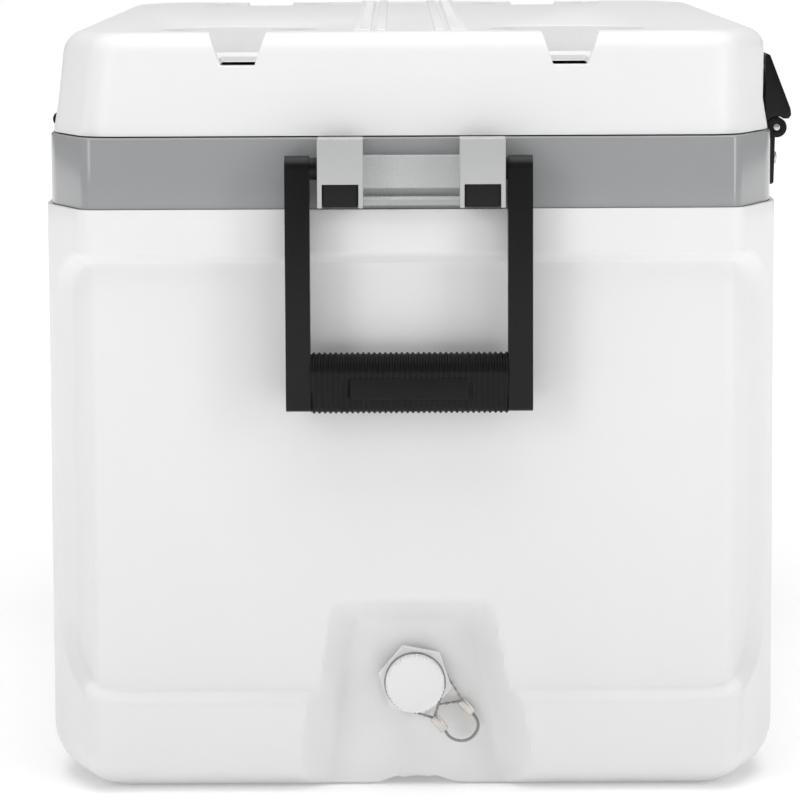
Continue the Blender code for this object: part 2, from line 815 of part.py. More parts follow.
def make_bracket(end, sign):
    """The grey bracket on the collar: a back plate, two lugs open below, and a bridge between them."""
    face = -COLLAR_HALF_Y - GAP
    name = f"handle_bracket_{end}"
    low_corner, high_corner = (-LUG_OUTER, face - BACK_PLATE, LUG_BOTTOM), (LUG_OUTER, face, BRIDGE_HIGH)
    plate = box(name, low_corner, high_corner, "bracket_grey")
    helpers = []
    overlap = BACK_PLATE / 2
    for side in (-1, 1):
        low, high = sorted((side * LUG_INNER, side * LUG_OUTER))
        block = box(f"{name}_lug_{side}", (low, -LUG_FRONT, LUG_BOTTOM), (high, face - overlap, LUG_TOP))
        join(plate, block)
        helpers.append(block)
    bridge = box(
        name + "_bridge",
        (-LUG_INNER - LUG_WALL / 2, -BRIDGE_FRONT, BRIDGE_LOW),
        (LUG_INNER + LUG_WALL / 2, face - overlap, BRIDGE_HIGH),
    )
    rib = box(
        name + "_rib",
        (-LUG_INNER - LUG_WALL / 2, -BRIDGE_FRONT, RIB_Z - RIB_HALF),
        (LUG_INNER + LUG_WALL / 2, face - overlap, RIB_Z + RIB_HALF),
    )
    join(plate, bridge, rib)
    helpers += [bridge, rib]
    for side in (-1, 1):
        low, high = sorted((side * (LUG_INNER + LUG_WALL), side * (LUG_OUTER - LUG_WALL)))
        room = box(
            f"{name}_room_{side}",
            (low, -LUG_FRONT + LUG_WALL, LUG_BOTTOM - PAST),
            (high, face - BACK_PLATE, LUG_TOP - LUG_WALL),
        )
        mouth = box(
            f"{name}_mouth_{side}",
            (low, -LUG_FRONT - PAST, LUG_BOTTOM - PAST),
            (high, -LUG_FRONT + PAST, LUG_LIP),
        )
        hole = cylinder(
            f"{name}_hole_{side}",
            STUB_RADIUS + GAP,
            (side * (STUB_INNER + LUG_WALL), -PIVOT_Y, PIVOT_Z),
            (side * (LUG_OUTER + PAST), -PIVOT_Y, PIVOT_Z),
        )
        cut(plate, room, mouth, hole)
        helpers += [room, mouth, hole]
    for piece in (plate, *helpers):
        end_place(piece, sign)


def make_bushings(end, sign):
    """The black blocks inside the lugs that the handle's stubs turn in."""
    back = -COLLAR_HALF_Y - BACK_PLATE - 2 * GAP
    for side, word in ((-1, "left"), (1, "right")):
        low, high = sorted((side * (LUG_INNER + LUG_WALL + GAP), side * (LUG_OUTER - LUG_WALL - GAP)))
        name = f"handle_bushing_{end}_{word}"
        block = box(
            name,
            (low, -LUG_FRONT + LUG_WALL + GAP, LUG_BOTTOM + GAP),
            (high, back, LUG_TOP - LUG_WALL - GAP),
            "black_plastic",
        )
        bore = cylinder(
            name + "_bore",
            STUB_RADIUS + GAP,
            (side * (STUB_INNER - GAP), -PIVOT_Y, PIVOT_Z),
            (side * (LUG_OUTER + PAST), -PIVOT_Y, PIVOT_Z),
        )
        cut(block, bore)
        end_place(block, sign)
        end_place(bore, sign)


def arm_outline():
    """The side view of an arm: round at the pivot, with small round corners at the foot."""
    foot = 0.004
    top = arc(-PIVOT_Y, PIVOT_Z, ARM_RADIUS, 0, 180, 9)
    left = arc(-PIVOT_Y - ARM_RADIUS + foot, ARM_BOTTOM + foot, foot, 180, 270, 4)
    right = arc(-PIVOT_Y + ARM_RADIUS - foot, ARM_BOTTOM + foot, foot, 270, 360, 4)
    return top + left + right


def grip_outline():
    """The side view of the grip: a fat roll above and a slimmer foot below."""
    top = arc(-PIVOT_Y, GRIP_TOP - GRIP_ROLL, GRIP_ROLL, -10, 190, 13)
    foot = arc(-PIVOT_Y, GRIP_BOTTOM + GRIP_FOOT, GRIP_FOOT, 190, 350, 9)
    return top + foot


def make_handle(end, sign):
    pivot = joint_empty(f"handle_pivot_{end}", (0, sign * PIVOT_Y, PIVOT_Z))
    name = f"handle_frame_{end}"
    middle = HANDLE_SHIFT
    frame = extrusion(name, arm_outline(), "X", middle - ARM_OUTER, middle - ARM_INNER, "black_plastic")
    other_arm = extrusion(name + "_arm", arm_outline(), "X", middle + ARM_INNER, middle + ARM_OUTER)
    bar = box(
        name + "_bar",
        (middle - ARM_INNER - OVERLAP, -PIVOT_Y - BAR_HALF_Y, BAR_LOW),
        (middle + ARM_INNER + OVERLAP, -PIVOT_Y + BAR_HALF_Y, BAR_HIGH),
    )
    stubs = [
        cylinder(
            f"{name}_stub_{side}",
            STUB_RADIUS,
            (side * (STUB_INNER + GAP), -PIVOT_Y, PIVOT_Z),
            (middle + side * (ARM_INNER + OVERLAP), -PIVOT_Y, PIVOT_Z),
        )
        for side in (-1, 1)
    ]
    join(frame, other_arm, bar, *stubs)
    reach = (middle - GRIP_HALF, middle + GRIP_HALF)
    grip = extrusion(f"handle_grip_{end}", grip_outline(), "X", *reach, "black_rubber")
    core = box(
        f"handle_grip_{end}_core",
        (-ARM_OUTER, -PIVOT_Y - BAR_HALF_Y - GAP, BAR_LOW - GAP),
        (ARM_OUTER, -PIVOT_Y + BAR_HALF_Y + GAP, BAR_HIGH + GAP),
    )
    cut(grip, core)
    for piece in (frame, other_arm, bar, *stubs, grip, core):
        end_place(piece, sign)
    bpy.context.view_layer.update()
    hang_on(pivot, frame, grip)


# ------------------------------------------------------------------ latches and hinges


def screw_profile(length):
    """Half the outline of a round-headed screw, from the middle of its head down to its tip."""
    tip = -length
    return (
        (0.0, SCREW_HEAD),
        (SCREW_HEAD_RADIUS * 0.7, SCREW_HEAD * 0.8),
        (SCREW_HEAD_RADIUS, SCREW_HEAD * 0.3),
        (SCREW_HEAD_RADIUS, GAP),
        (SCREW_RADIUS, GAP),
        (SCREW_RADIUS, tip + SCREW_RADIUS),
        (0.0, tip),
    )


def make_screw(name, x, y, z, length, sign):
    """A screw whose head sits on the plane at x and whose shank points into the chest."""
    profile = screw_profile(length)
    mesh = bpy.data.meshes.new(name)
    mesh.from_pydata([(r, 0, h) for r, h in profile], [(i, i + 1) for i in range(len(profile) - 1)], [])
    screw = place_mesh(name, mesh, "stainless")
    turn = screw.modifiers.new("turn", "SCREW")
    turn.axis = "Z"
    turn.steps = 12
    turn.render_steps = 12
    turn.use_merge_vertices = True
    turn.merge_threshold = 1e-6
    screw.location = (x, y, z)
    screw.rotation_euler = (0, sign * math.radians(90), 0)
    return screw


def screw_hole(name, x, y, z, length, sign):
    mouth, tip = (x + sign * PAST, y, z), (x - sign * (length + GAP), y, z)
    return cylinder(name, SCREW_RADIUS + GAP, mouth, tip, sides=12)


def make_latch(end, sign, collar, foam):
    middle = sign * LATCH_Y
    y_low, y_high = middle - LATCH_HALF, middle + LATCH_HALF
    inner_low, inner_high = y_low + LATCH_KNUCKLE, y_high - LATCH_KNUCKLE
    axis = joint_empty(f"latch_axis_{end}", (LATCH_AXIS_X, middle, LATCH_AXIS_Z))
    back = COLLAR_HALF_X + GAP

    def barrel(name, radius, low, high):
        return cylinder(name, radius, (LATCH_AXIS_X, low, LATCH_AXIS_Z), (LATCH_AXIS_X, high, LATCH_AXIS_Z))

    base_outline = (
        (back, LATCH_PLATE_LOW),
        (back + 0.0040, LATCH_PLATE_LOW),
        (back + 0.0050, LATCH_PLATE_LOW + 0.001),
        (back + 0.0058, LATCH_AXIS_Z - 0.001),
        (back + 0.0006, LATCH_AXIS_Z - 0.001),
        (back, LATCH_AXIS_Z - 0.0016),
    )
    base = extrusion(f"latch_base_{end}", base_outline, "Y", y_low, y_high, "black_plastic")
    join(
        base,
        barrel(f"latch_ear_1_{end}", BARREL_RADIUS, y_low, inner_low),
        barrel(f"latch_ear_2_{end}", BARREL_RADIUS, inner_high, y_high),
    )
    cut(
        base,
        barrel(f"latch_base_room_{end}", BARREL_RADIUS + TURN_ROOM, inner_low, inner_high),
        barrel(f"latch_bore_{end}", LATCH_PIN_RADIUS + GAP, y_low - PAST, y_high + PAST),
    )

    slope_top = (LEVER_BACK + 0.0026, LEVER_TOP - 0.0006)
    lever_outline = (
        (LEVER_BACK, LATCH_AXIS_Z + 0.002),
        (LEVER_BACK + 0.0040, LATCH_AXIS_Z + 0.002),
        (LEVER_BACK + 0.0055, FLAP_TIP_Z),
        (FLAP_TIP_X - 0.0015, FLAP_TIP_Z),
        (FLAP_TIP_X, FLAP_TIP_Z + 0.0020),
        (FLAP_TIP_X - 0.0003, FLAP_TIP_Z + 0.0055),
        slope_top,
        (LEVER_BACK + 0.0016, LEVER_TOP),
        (LEVER_BACK + 0.0006, LEVER_TOP),
        (LEVER_BACK, LEVER_TOP - 0.0006),
    )
    finger_room = (
        (LEVER_BACK + LEVER_WALL, LATCH_AXIS_Z),
        (FLAP_TIP_X - LEVER_WALL, LATCH_AXIS_Z),
        (FLAP_TIP_X - LEVER_WALL - 0.0003, FLAP_TIP_Z + 0.0055),
        (LEVER_BACK + LEVER_WALL + 0.0009, LEVER_TOP - 0.0100),
        (LEVER_BACK + LEVER_WALL, LEVER_TOP - 0.0100),
    )
    lever = extrusion(f"latch_lever_{end}", lever_outline, "Y", y_low, y_high, "black_plastic")
    side_wall = 0.003
    cut(
        lever,
        extrusion(f"latch_finger_room_{end}", finger_room, "Y", y_low + side_wall, y_high - side_wall),
        barrel(f"latch_lever_room_1_{end}", BARREL_RADIUS + TURN_ROOM, y_low - PAST, inner_low + GAP),
        barrel(f"latch_lever_room_2_{end}", BARREL_RADIUS + TURN_ROOM, inner_high - GAP, y_high + PAST),
    )
    join(lever, barrel(f"latch_knuckle_{end}", BARREL_RADIUS, inner_low + GAP, inner_high - GAP))
    cut(lever, barrel(f"latch_lever_bore_{end}", LATCH_PIN_RADIUS + GAP, y_low - PAST, y_high + PAST))
    hang_on(axis, lever)

    cylinder(
        f"latch_pin_{end}",
        LATCH_PIN_RADIUS,
        (LATCH_AXIS_X, y_low, LATCH_AXIS_Z),
        (LATCH_AXIS_X, y_high, LATCH_AXIS_Z),
        sides=16,
        material="stainless",
    )

    seat = back + 0.0056
    length = seat - (COLLAR_HALF_X - COLLAR_WALL - SKIRT_INSET - SCREW_BITE)
    for number, offset in enumerate((-LATCH_SCREW_Y, LATCH_SCREW_Y), 1):
        y = middle + offset
        make_screw(f"latch_screw_{end}_{number}", seat, y, LATCH_SCREW_Z, length, 1)
        hole = screw_hole(f"latch_screw_hole_{end}_{number}", seat, y, LATCH_SCREW_Z, length, 1)
        for piece in (base, collar, foam):
            cut(piece, hole)


def lid_back_at(height):
    """The X of the lid's drafted back face at a height."""
    half_x, _, middle_x = lid_size_at(height)
    return middle_x - half_x


def make_hinge(end, sign, collar, foam, lid_shell, lid_foam):
    middle = sign * HINGE_Y
    y_low, y_high = middle - HINGE_HALF, middle + HINGE_HALF
    inner_low, inner_high = y_low + HINGE_KNUCKLE, y_high - HINGE_KNUCKLE
    back = -COLLAR_HALF_X - GAP
    seat = back - LEAF_THICK

    def barrel(name, radius, low, high):
        return cylinder(name, radius, (HINGE_AXIS_X, low, SEAM_Z), (HINGE_AXIS_X, high, SEAM_Z), sides=20)

    leaf_outline = ((back, LEAF_LOW), (back, SEAM_Z - 0.001), (seat, SEAM_Z - 0.001), (seat, LEAF_LOW))
    body_leaf = extrusion(f"hinge_body_leaf_{end}", leaf_outline, "Y", y_low, y_high, "black_plastic")
    join(
        body_leaf,
        barrel(f"hinge_ear_1_{end}", HINGE_RADIUS, y_low, inner_low),
        barrel(f"hinge_ear_2_{end}", HINGE_RADIUS, inner_high, y_high),
    )
    cut(
        body_leaf,
        barrel(f"hinge_room_{end}", HINGE_RADIUS + TURN_ROOM, inner_low, inner_high),
        barrel(f"hinge_bore_{end}", HINGE_PIN_RADIUS + GAP, y_low - PAST, y_high + PAST),
    )

    foot = LID_BOTTOM + 0.0015
    lid_outline = (
        (lid_back_at(foot) - GAP, foot),
        (lid_back_at(LID_WAIST) - GAP, LID_WAIST),
        (lid_back_at(LEAF_HIGH) - GAP, LEAF_HIGH),
        (seat + 0.0016, LEAF_HIGH),
        (seat, LEAF_HIGH - 0.003),
        (seat, foot),
    )
    lid_leaf = extrusion(f"hinge_lid_leaf_{end}", lid_outline, "Y", y_low, y_high, "black_plastic")
    cut(
        lid_leaf,
        barrel(f"hinge_lid_room_1_{end}", HINGE_RADIUS + TURN_ROOM, y_low - PAST, inner_low + GAP),
        barrel(f"hinge_lid_room_2_{end}", HINGE_RADIUS + TURN_ROOM, inner_high - GAP, y_high + PAST),
    )
    join(lid_leaf, barrel(f"hinge_knuckle_{end}", HINGE_RADIUS, inner_low + GAP, inner_high - GAP))
    cut(lid_leaf, barrel(f"hinge_lid_bore_{end}", HINGE_PIN_RADIUS + GAP, y_low - PAST, y_high + PAST))

    cylinder(
        f"hinge_pin_{end}",
        HINGE_PIN_RADIUS,
        (HINGE_AXIS_X, y_low, SEAM_Z),
        (HINGE_AXIS_X, y_high, SEAM_Z),
        sides=16,
        material="stainless",
    )

    lid_screws = []
    body_length = -seat - (COLLAR_HALF_X - COLLAR_WALL - SKIRT_INSET - SCREW_BITE)
    lid_length = -seat + lid_back_at(LID_LEAF_SCREW_Z) + LID_WALL + SCREW_BITE
    for number, offset in enumerate((-HINGE_SCREW_Y, HINGE_SCREW_Y), 1):
        y = middle + offset
        make_screw(f"hinge_body_screw_{end}_{number}", seat, y, BODY_LEAF_SCREW_Z, body_length, -1)
        hole = screw_hole(f"hinge_body_hole_{end}_{number}", seat, y, BODY_LEAF_SCREW_Z, body_length, -1)
        for piece in (body_leaf, collar, foam):
            cut(piece, hole)
        lid_screws.append(
            make_screw(f"hinge_lid_screw_{end}_{number}", seat, y, LID_LEAF_SCREW_Z, lid_length, -1)
        )
        lid_hole = screw_hole(f"hinge_lid_hole_{end}_{number}", seat, y, LID_LEAF_SCREW_Z, lid_length, -1)
        for piece in (lid_leaf, lid_shell, lid_foam):
            cut(piece, lid_hole)
    return [lid_leaf, *lid_screws]


# ------------------------------------------------------------------ drain


def ring_profile(inner, outer, back, front):
    """The closed outline of a plain ring between two distances along the drain's axis, outer side first."""
    return ((outer, front), (outer, back), (inner, back), (inner, front))


def make_drain():
    spout = turned(
        "drain_spout",
        (
            (NECK_RADIUS, NECK_END),
            (NECK_RADIUS, HEX_FRONT - GAP),
            (HUB_RADIUS, HEX_FRONT - GAP),
            (HUB_RADIUS, HUB_BACK),
            (SPOUT_RADIUS, HUB_BACK),
            (SPOUT_RADIUS, SPOUT_INSIDE),
            (SPOUT_BORE, SPOUT_INSIDE),
            (SPOUT_BORE, NECK_END),
        ),
        0.0,
        "white_shell",
    )
    hexagon = cylinder(
        "spout_hexagon",
        HEX_RADIUS,
        (DRAIN_X, -HEX_BACK, DRAIN_Z),
        (DRAIN_X, -HEX_FRONT, DRAIN_Z),
        sides=6,
        turn=HEX_TURN,
    )
    hex_bore = drain_hole("spout_hexagon_bore", (SPOUT_BORE + HUB_RADIUS) / 2)
    cut(hexagon, hex_bore)
    join(spout, hexagon)

    inner_wall = ROOM_HALF_Y - GAP
    nut = cylinder(
        "drain_nut",
        NUT_RADIUS,
        (DRAIN_X, -inner_wall, DRAIN_Z),
        (DRAIN_X, -NUT_INSIDE, DRAIN_Z),
        sides=6,
        turn=math.radians(30),
        material="white_shell",
    )
    cut(nut, drain_hole("nut_bore", SPOUT_RADIUS + GAP))

    turned(
        "drain_gasket",
        ring_profile(SPOUT_RADIUS + GAP, HUB_RADIUS + 0.001, RECESS_BACK + GAP, GASKET_FRONT),
        0.0,
        "black_rubber",
    )
    cap = turned(
        "drain_cap",
        (
            (CAP_RADIUS - 0.0015, CAP_FACE),
            (CAP_RADIUS, CAP_FACE - 0.0015),
            (CAP_RADIUS, GROOVE_FRONT),
            (GROOVE_RADIUS, GROOVE_FRONT),
            (GROOVE_RADIUS, GROOVE_BACK),
            (CAP_RADIUS, GROOVE_BACK),
            (CAP_RADIUS, CAP_OPEN),
            (CAP_BORE, CAP_OPEN),
            (CAP_BORE, CAP_CEILING),
            (0.0, CAP_CEILING),
            (0.0, CAP_FACE),
        ),
        0.0,
        "white_shell",
        steps=36,
    )
    seal = turned(
        "drain_cap_seal",
        ring_profile(SPOUT_BORE + GAP, NECK_RADIUS - GAP, NECK_END + GAP, CAP_CEILING - GAP),
        0.0,
        "black_rubber",
    )
    return cap, seal


def ferrule_ends(place):
    """The upper and lower mouths of a ferrule, and the direction across it, in X and Z."""
    x, z, slope = place
    along = Vector((math.cos(slope), -math.sin(slope)))
    across = Vector((math.sin(slope), math.cos(slope)))
    middle = Vector((x, z))
    half = along * FERRULE_LENGTH / 2
    return middle - half, middle + half, along, across


def make_eye(name, radius, place, y):
    """A loop of cable round the drain whose two strands close at the upper mouth of a ferrule."""
    centre = Vector((DRAIN_X, DRAIN_Z))
    mouth, _, along, across = ferrule_ends(place)
    mouth = mouth - along * GAP
    spread = CABLE_RADIUS + GAP / 2
    reach = (mouth - centre).length
    facing = math.atan2(mouth.y - centre.y, mouth.x - centre.x)
    opening = math.acos(radius / reach)
    count = 22
    sweep = 2 * math.pi - 2 * opening
    loop = [
        centre + radius * Vector((math.cos(a), math.sin(a)))
        for a in (facing + opening + sweep * i / (count - 1) for i in range(count))
    ]
    inner = mouth - along * FERRULE_HALF_DEPTH
    side = across * spread
    points = [mouth + side, inner + side, *loop, inner - side, mouth - side]
    return tube(name, [(p.x, y, p.y) for p in points], CABLE_RADIUS, "cable_steel")


def make_ferrule(name, place, y):
    """An oval sleeve pressed round the cable, modelled solid with its length along the strands."""
    _, _, along, across = ferrule_ends(place)
    flat = FERRULE_HALF_WIDTH - FERRULE_HALF_DEPTH
    outline = arc(flat, 0, FERRULE_HALF_DEPTH, -90, 90, 7) + arc(-flat, 0, FERRULE_HALF_DEPTH, 90, 270, 7)
    sleeve = extrusion(name, outline, "Z", -FERRULE_LENGTH / 2, FERRULE_LENGTH / 2, "stainless")
    turn = Matrix(((across.x, 0, along.x), (0, 1, 0), (across.y, 0, along.y))).to_4x4()
    sleeve.matrix_world = Matrix.Translation((place[0], y, place[1])) @ turn
    return sleeve


def smooth_route(points, per_span):
    """Points read from a smooth curve through the given ones."""
    points = [Vector(p) for p in points]
    padded = [points[0] * 2 - points[1], *points, points[-1] * 2 - points[-2]]
    route = []
    for i in range(1, len(padded) - 2):
        a, b, c, d = padded[i - 1 : i + 3]
        for step in range(per_span):
            t = step / per_span
            route.append(
                0.5
                * (2 * b + (c - a) * t + (2 * a - 5 * b + 4 * c - d) * t**2 + (3 * b - a - 3 * c + d) * t**3)
            )
    route.append(points[-1])
    return route


def make_tether():
    _, start, start_along, _ = ferrule_ends(SPOUT_FERRULE)
    _, end, end_along, _ = ferrule_ends(CAP_FERRULE)
    start = start + start_along * GAP
    end = end + end_along * GAP
    flat_route = [start, *(Vector(p) for p in TETHER_LOW_POINTS), end]
    last = len(flat_route) - 1
    route = []
    for i, point in enumerate(flat_route):
        share = i / last
        ease = share * share * (3 - 2 * share)
        route.append((point.x, SPOUT_EYE_Y + (CAP_EYE_Y - SPOUT_EYE_Y) * ease, point.y))
    tube("tether_cable", smooth_route(route, 2), CABLE_RADIUS, "cable_steel")
    make_eye("tether_eye_spout", HUB_RADIUS + GAP + CABLE_RADIUS, SPOUT_FERRULE, SPOUT_EYE_Y)
    make_ferrule("tether_ferrule_spout", SPOUT_FERRULE, SPOUT_EYE_Y)
    cap_eye = make_eye("tether_eye_cap", GROOVE_RADIUS + GAP + CABLE_RADIUS, CAP_FERRULE, CAP_EYE_Y)
    cap_ferrule = make_ferrule("tether_ferrule_cap", CAP_FERRULE, CAP_EYE_Y)
    return cap_eye, cap_ferrule


# ------------------------------------------------------------------ the chest


def main():
    foam = make_body()
    collar = make_collar()
    lid_shell, lid_pan, lid_foam, lid_seal = make_lid()
    lid_pieces = [lid_shell, lid_pan, lid_foam, lid_seal]
    for end, sign in ENDS:
        make_bracket(end, sign)
        make_bushings(end, sign)
        make_handle(end, sign)
        make_latch(end, sign, collar, foam)
        lid_pieces += make_hinge(end, sign, collar, foam, lid_shell, lid_foam)
    lid_axis = joint_empty("lid_axis", (HINGE_AXIS_X, 0, SEAM_Z))
    hang_on(lid_axis, *lid_pieces)
    cap, seal = make_drain()
    cap_eye, cap_ferrule = make_tether()
    cap_axis = joint_empty("cap_axis", (DRAIN_X, -CAP_OPEN, DRAIN_Z))
    hang_on(cap_axis, cap, seal, cap_eye, cap_ferrule)


main()
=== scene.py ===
# %% [markdown]
# # A cooler chest, piece by piece
# The frame gives the finished engineering model of a cooler chest: every part has its size, its place and
# the body that it moves with. This lesson builds the good-looking surface of each part round that frame.
# Everything is in metres, +Z is up, the drain is on the -Y end and the latches are on the +X side.

# %% Load the frame
import json
import math

import bmesh
import bpy
from mathutils import Matrix, Vector


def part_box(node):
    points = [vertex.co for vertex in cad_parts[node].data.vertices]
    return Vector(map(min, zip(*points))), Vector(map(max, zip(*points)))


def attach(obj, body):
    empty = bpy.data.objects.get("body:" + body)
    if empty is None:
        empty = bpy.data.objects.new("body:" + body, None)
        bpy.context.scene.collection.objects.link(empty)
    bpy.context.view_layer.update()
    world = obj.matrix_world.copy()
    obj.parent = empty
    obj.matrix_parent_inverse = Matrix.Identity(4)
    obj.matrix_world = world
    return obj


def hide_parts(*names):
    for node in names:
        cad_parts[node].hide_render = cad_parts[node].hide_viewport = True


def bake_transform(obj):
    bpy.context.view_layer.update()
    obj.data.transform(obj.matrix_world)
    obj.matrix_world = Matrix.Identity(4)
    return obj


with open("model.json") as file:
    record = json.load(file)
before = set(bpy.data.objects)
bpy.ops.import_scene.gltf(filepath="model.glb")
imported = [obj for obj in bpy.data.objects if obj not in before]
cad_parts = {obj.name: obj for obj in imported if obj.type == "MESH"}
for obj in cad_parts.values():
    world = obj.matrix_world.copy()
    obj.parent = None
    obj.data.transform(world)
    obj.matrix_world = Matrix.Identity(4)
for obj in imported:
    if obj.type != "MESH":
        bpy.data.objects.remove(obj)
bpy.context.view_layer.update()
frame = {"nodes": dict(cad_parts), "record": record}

# %% [markdown]
# ## The camera
# A chest is usually shown square on from one end, from far away, so that its upright edges stay parallel. A
# long lens does that. The camera is built from three turns: the pitch looks down a little, the others level
# the view.

# %% Place the camera
camera = bpy.data.objects.new("camera", bpy.data.cameras.new("camera"))
bpy.context.scene.collection.objects.link(camera)
camera.data.lens = 180
yaw, pitch, roll = (math.radians(a) for a in (-0.033, 82.8, -0.25))
turn = Matrix.Rotation(yaw, 4, "Z") @ Matrix.Rotation(pitch, 4, "X") @ Matrix.Rotation(roll, 4, "Z")
camera.matrix_world = Matrix.Translation((-0.008, -2.53, 0.5004)) @ turn
bpy.context.scene.camera = camera
print("lens:", camera.data.lens)

# %% [markdown]
# ## Working one object at a time
# An operator acts on whatever is selected, so each step first selects one object alone. Faces and edges are
# then picked by a test on where they are or which way they face. That is the same as clicking them, and it
# still works when a size changes.

# %% Helpers for selecting and shaping
def only(obj):
    if bpy.context.mode != "OBJECT":
        bpy.ops.object.mode_set(mode="OBJECT")
    bpy.ops.object.select_all(action="DESELECT")
    obj.select_set(True)
    bpy.context.view_layer.objects.active = obj
    return obj


def edit(obj, pick=None, kind="FACE"):
    """Enters edit mode with everything selected, or only what the test picks."""
    only(obj)
    bpy.ops.object.mode_set(mode="EDIT")
    bpy.ops.mesh.select_mode(type=kind)
    bpy.ops.mesh.select_all(action="SELECT")
    if pick:
        choose(obj, pick, kind)


def choose(obj, pick, kind="FACE"):
    bpy.ops.mesh.select_mode(type=kind)
    bpy.ops.mesh.select_all(action="DESELECT")
    bm = bmesh.from_edit_mesh(obj.data)
    items = {"VERT": bm.verts, "EDGE": bm.edges, "FACE": bm.faces}[kind]
    found = [item for item in items if pick(item)]
    for item in found:
        item.select_set(True)
    bmesh.update_edit_mesh(obj.data)
    return len(found)


def done(obj, angle=35):
    """Back to object mode, with smooth shading broken at edges sharper than the angle."""
    only(obj)
    bpy.ops.object.shade_smooth_by_angle(angle=math.radians(angle))
    return obj


def apply_modifier(obj, kind, **settings):
    only(obj)
    modifier = obj.modifiers.new(kind.lower(), kind)
    for key, value in settings.items():
        setattr(modifier, key, value)
    bpy.ops.object.modifier_apply(modifier=modifier.name)


def cube(name, low, high):
    low, high = Vector(low), Vector(high)
    bpy.ops.object.select_all(action="DESELECT")
    bpy.ops.mesh.primitive_cube_add(size=1, location=(low + high) / 2, scale=high - low)
    obj = bpy.context.object
    obj.name = obj.data.name = name
    bpy.ops.object.transform_apply(location=True, rotation=True, scale=True)
    return obj


def drum(name, radius, start, end, sides=64):
    """A cylinder between two points."""
    start, end = Vector(start), Vector(end)
    along = end - start
    bpy.ops.object.select_all(action="DESELECT")
    bpy.ops.mesh.primitive_cylinder_add(vertices=sides, radius=radius, depth=along.length)
    obj = bpy.context.object
    obj.name = obj.data.name = name
    turn = along.to_track_quat("Z", "Y").to_matrix().to_4x4()
    obj.data.transform(Matrix.Translation((start + end) / 2) @ turn)
    return obj


def boolean(obj, cutter, operation="DIFFERENCE"):
    apply_modifier(obj, "BOOLEAN", object=cutter, operation=operation, solver="EXACT")
    bpy.data.objects.remove(cutter)


def slice_at(obj, axis, places):
    """Cuts an object into strips with planes square to an axis, and keeps both sides."""
    normal = Vector((axis == "X", axis == "Y", axis == "Z"))
    for place in places:
        bpy.ops.mesh.select_all(action="SELECT")
        bpy.ops.mesh.bisect(plane_co=normal * place, plane_no=normal, threshold=1e-5)


def steps(low, high, step):
    count = max(round((high - low) / step), 1)
    return [low + (high - low) * i / count for i in range(count + 1)]


def smooth_step(value):
    value = min(max(value, 0.0), 1.0)
    return value * value * (3 - 2 * value)


def show(obj, body, slot, *nodes):
    """Gives a finished piece its body and its finish, and hides the frame's nodes that it stands for."""
    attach(obj, body)
    if nodes:
        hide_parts(*nodes)
    obj.data.materials.clear()
    obj.data.materials.append(finishes[slot])
    print(f"{obj.name}: {sum(len(p.vertices) - 2 for p in obj.data.polygons)} triangles on {body}")
    return obj


# %% [markdown]
# ## Finishes from expressions
# A material is a small program on the surface. Writing each Math node by hand hides the idea, so one class
# wraps a socket and turns + - * into Math nodes. Another makes any other node from its type, settings and
# inputs. The grain is read from Object coordinates, so it keeps its size in metres on every piece.

# %% A class for sockets and a class for finishes
class Wire:
    def __init__(self, finish, socket):
        self.finish = finish
        self.socket = socket

    def maths(self, operation, *values):
        return self.finish.node("Math", {"operation": operation}, dict(enumerate(values)))

    def __add__(self, other):
        return self.maths("ADD", self, other)

    def __mul__(self, other):
        return self.maths("MULTIPLY", self, other)

    def __sub__(self, other):
        return self.maths("SUBTRACT", self, other)

    def __rsub__(self, other):
        return self.maths("SUBTRACT", other, self)

    __radd__ = __add__
    __rmul__ = __mul__


class Finish:
    def __init__(self, name, **constants):
        self.material = bpy.data.materials.new(name)
        self.material.use_nodes = True
        self.tree = self.material.node_tree
        self.shader = self.tree.nodes["Principled BSDF"]
        for key, value in constants.items():
            self.shader.inputs[key.replace("_", " ")].default_value = value

    def node(self, kind, settings=None, inputs=None, output=0):
        made = self.tree.nodes.new("ShaderNode" + kind)
        for key, value in (settings or {}).items():
            setattr(made, key, value)
        for key, value in (inputs or {}).items():
            if isinstance(value, Wire):
                self.tree.links.new(value.socket, made.inputs[key])
            else:
                made.inputs[key].default_value = value
        return Wire(self, made.outputs[output])

    def feed(self, **wires):
        for key, wire in wires.items():
            self.tree.links.new(wire.socket, self.shader.inputs[key.replace("_", " ")])

    def place(self, scale=(1, 1, 1)):
        spot = self.node("TexCoord", output="Object")
        return self.node("Mapping", {}, {"Vector": spot, "Scale": scale})

    def noise(self, scale, detail=2.0, stretch=(1, 1, 1)):
        return self.node("TexNoise", {}, {"Vector": self.place(stretch), "Scale": scale, "Detail": detail})

    def mix(self, share, first, second):
        return self.node("Mix", {"data_type": "RGBA"}, {0: share, 6: first, 7: second}, output=2)

    def bump(self, height, strength, distance):
        made = self.node("Bump", {}, {"Strength": strength, "Distance": distance, "Height": height})
        self.feed(Normal=made)


def grey(value, warm=0.0):
    return (value + warm, value, value - warm, 1.0)


# %% [markdown]
# ## Moulded white plastic
# The shell is polyethylene: very light, slightly uneven in colour from the mould, with a fine grain that
# softens reflections. Three noises do it: a wide one and one stretched upwards for colour and gloss, and a
# fine one for the grain.

# %% White, liner and grey plastics
def moulded(name, light, dark, rough, rough_range, grain_scale, grain, level=0.5):
    made = Finish(name, Specular_IOR_Level=level)
    wide = made.noise(9, 3)
    fine = made.noise(grain_scale, 3)
    flow = made.noise(30, 4, (1, 1, 0.15))
    made.feed(Base_Color=made.mix(wide * 0.6 + flow * 0.4, light, dark))
    made.feed(Roughness=rough + (flow - 0.5) * rough_range + (fine - 0.5) * 0.06)
    made.bump(fine * 0.7 + wide * 0.3, grain, 0.0006)
    return made.material


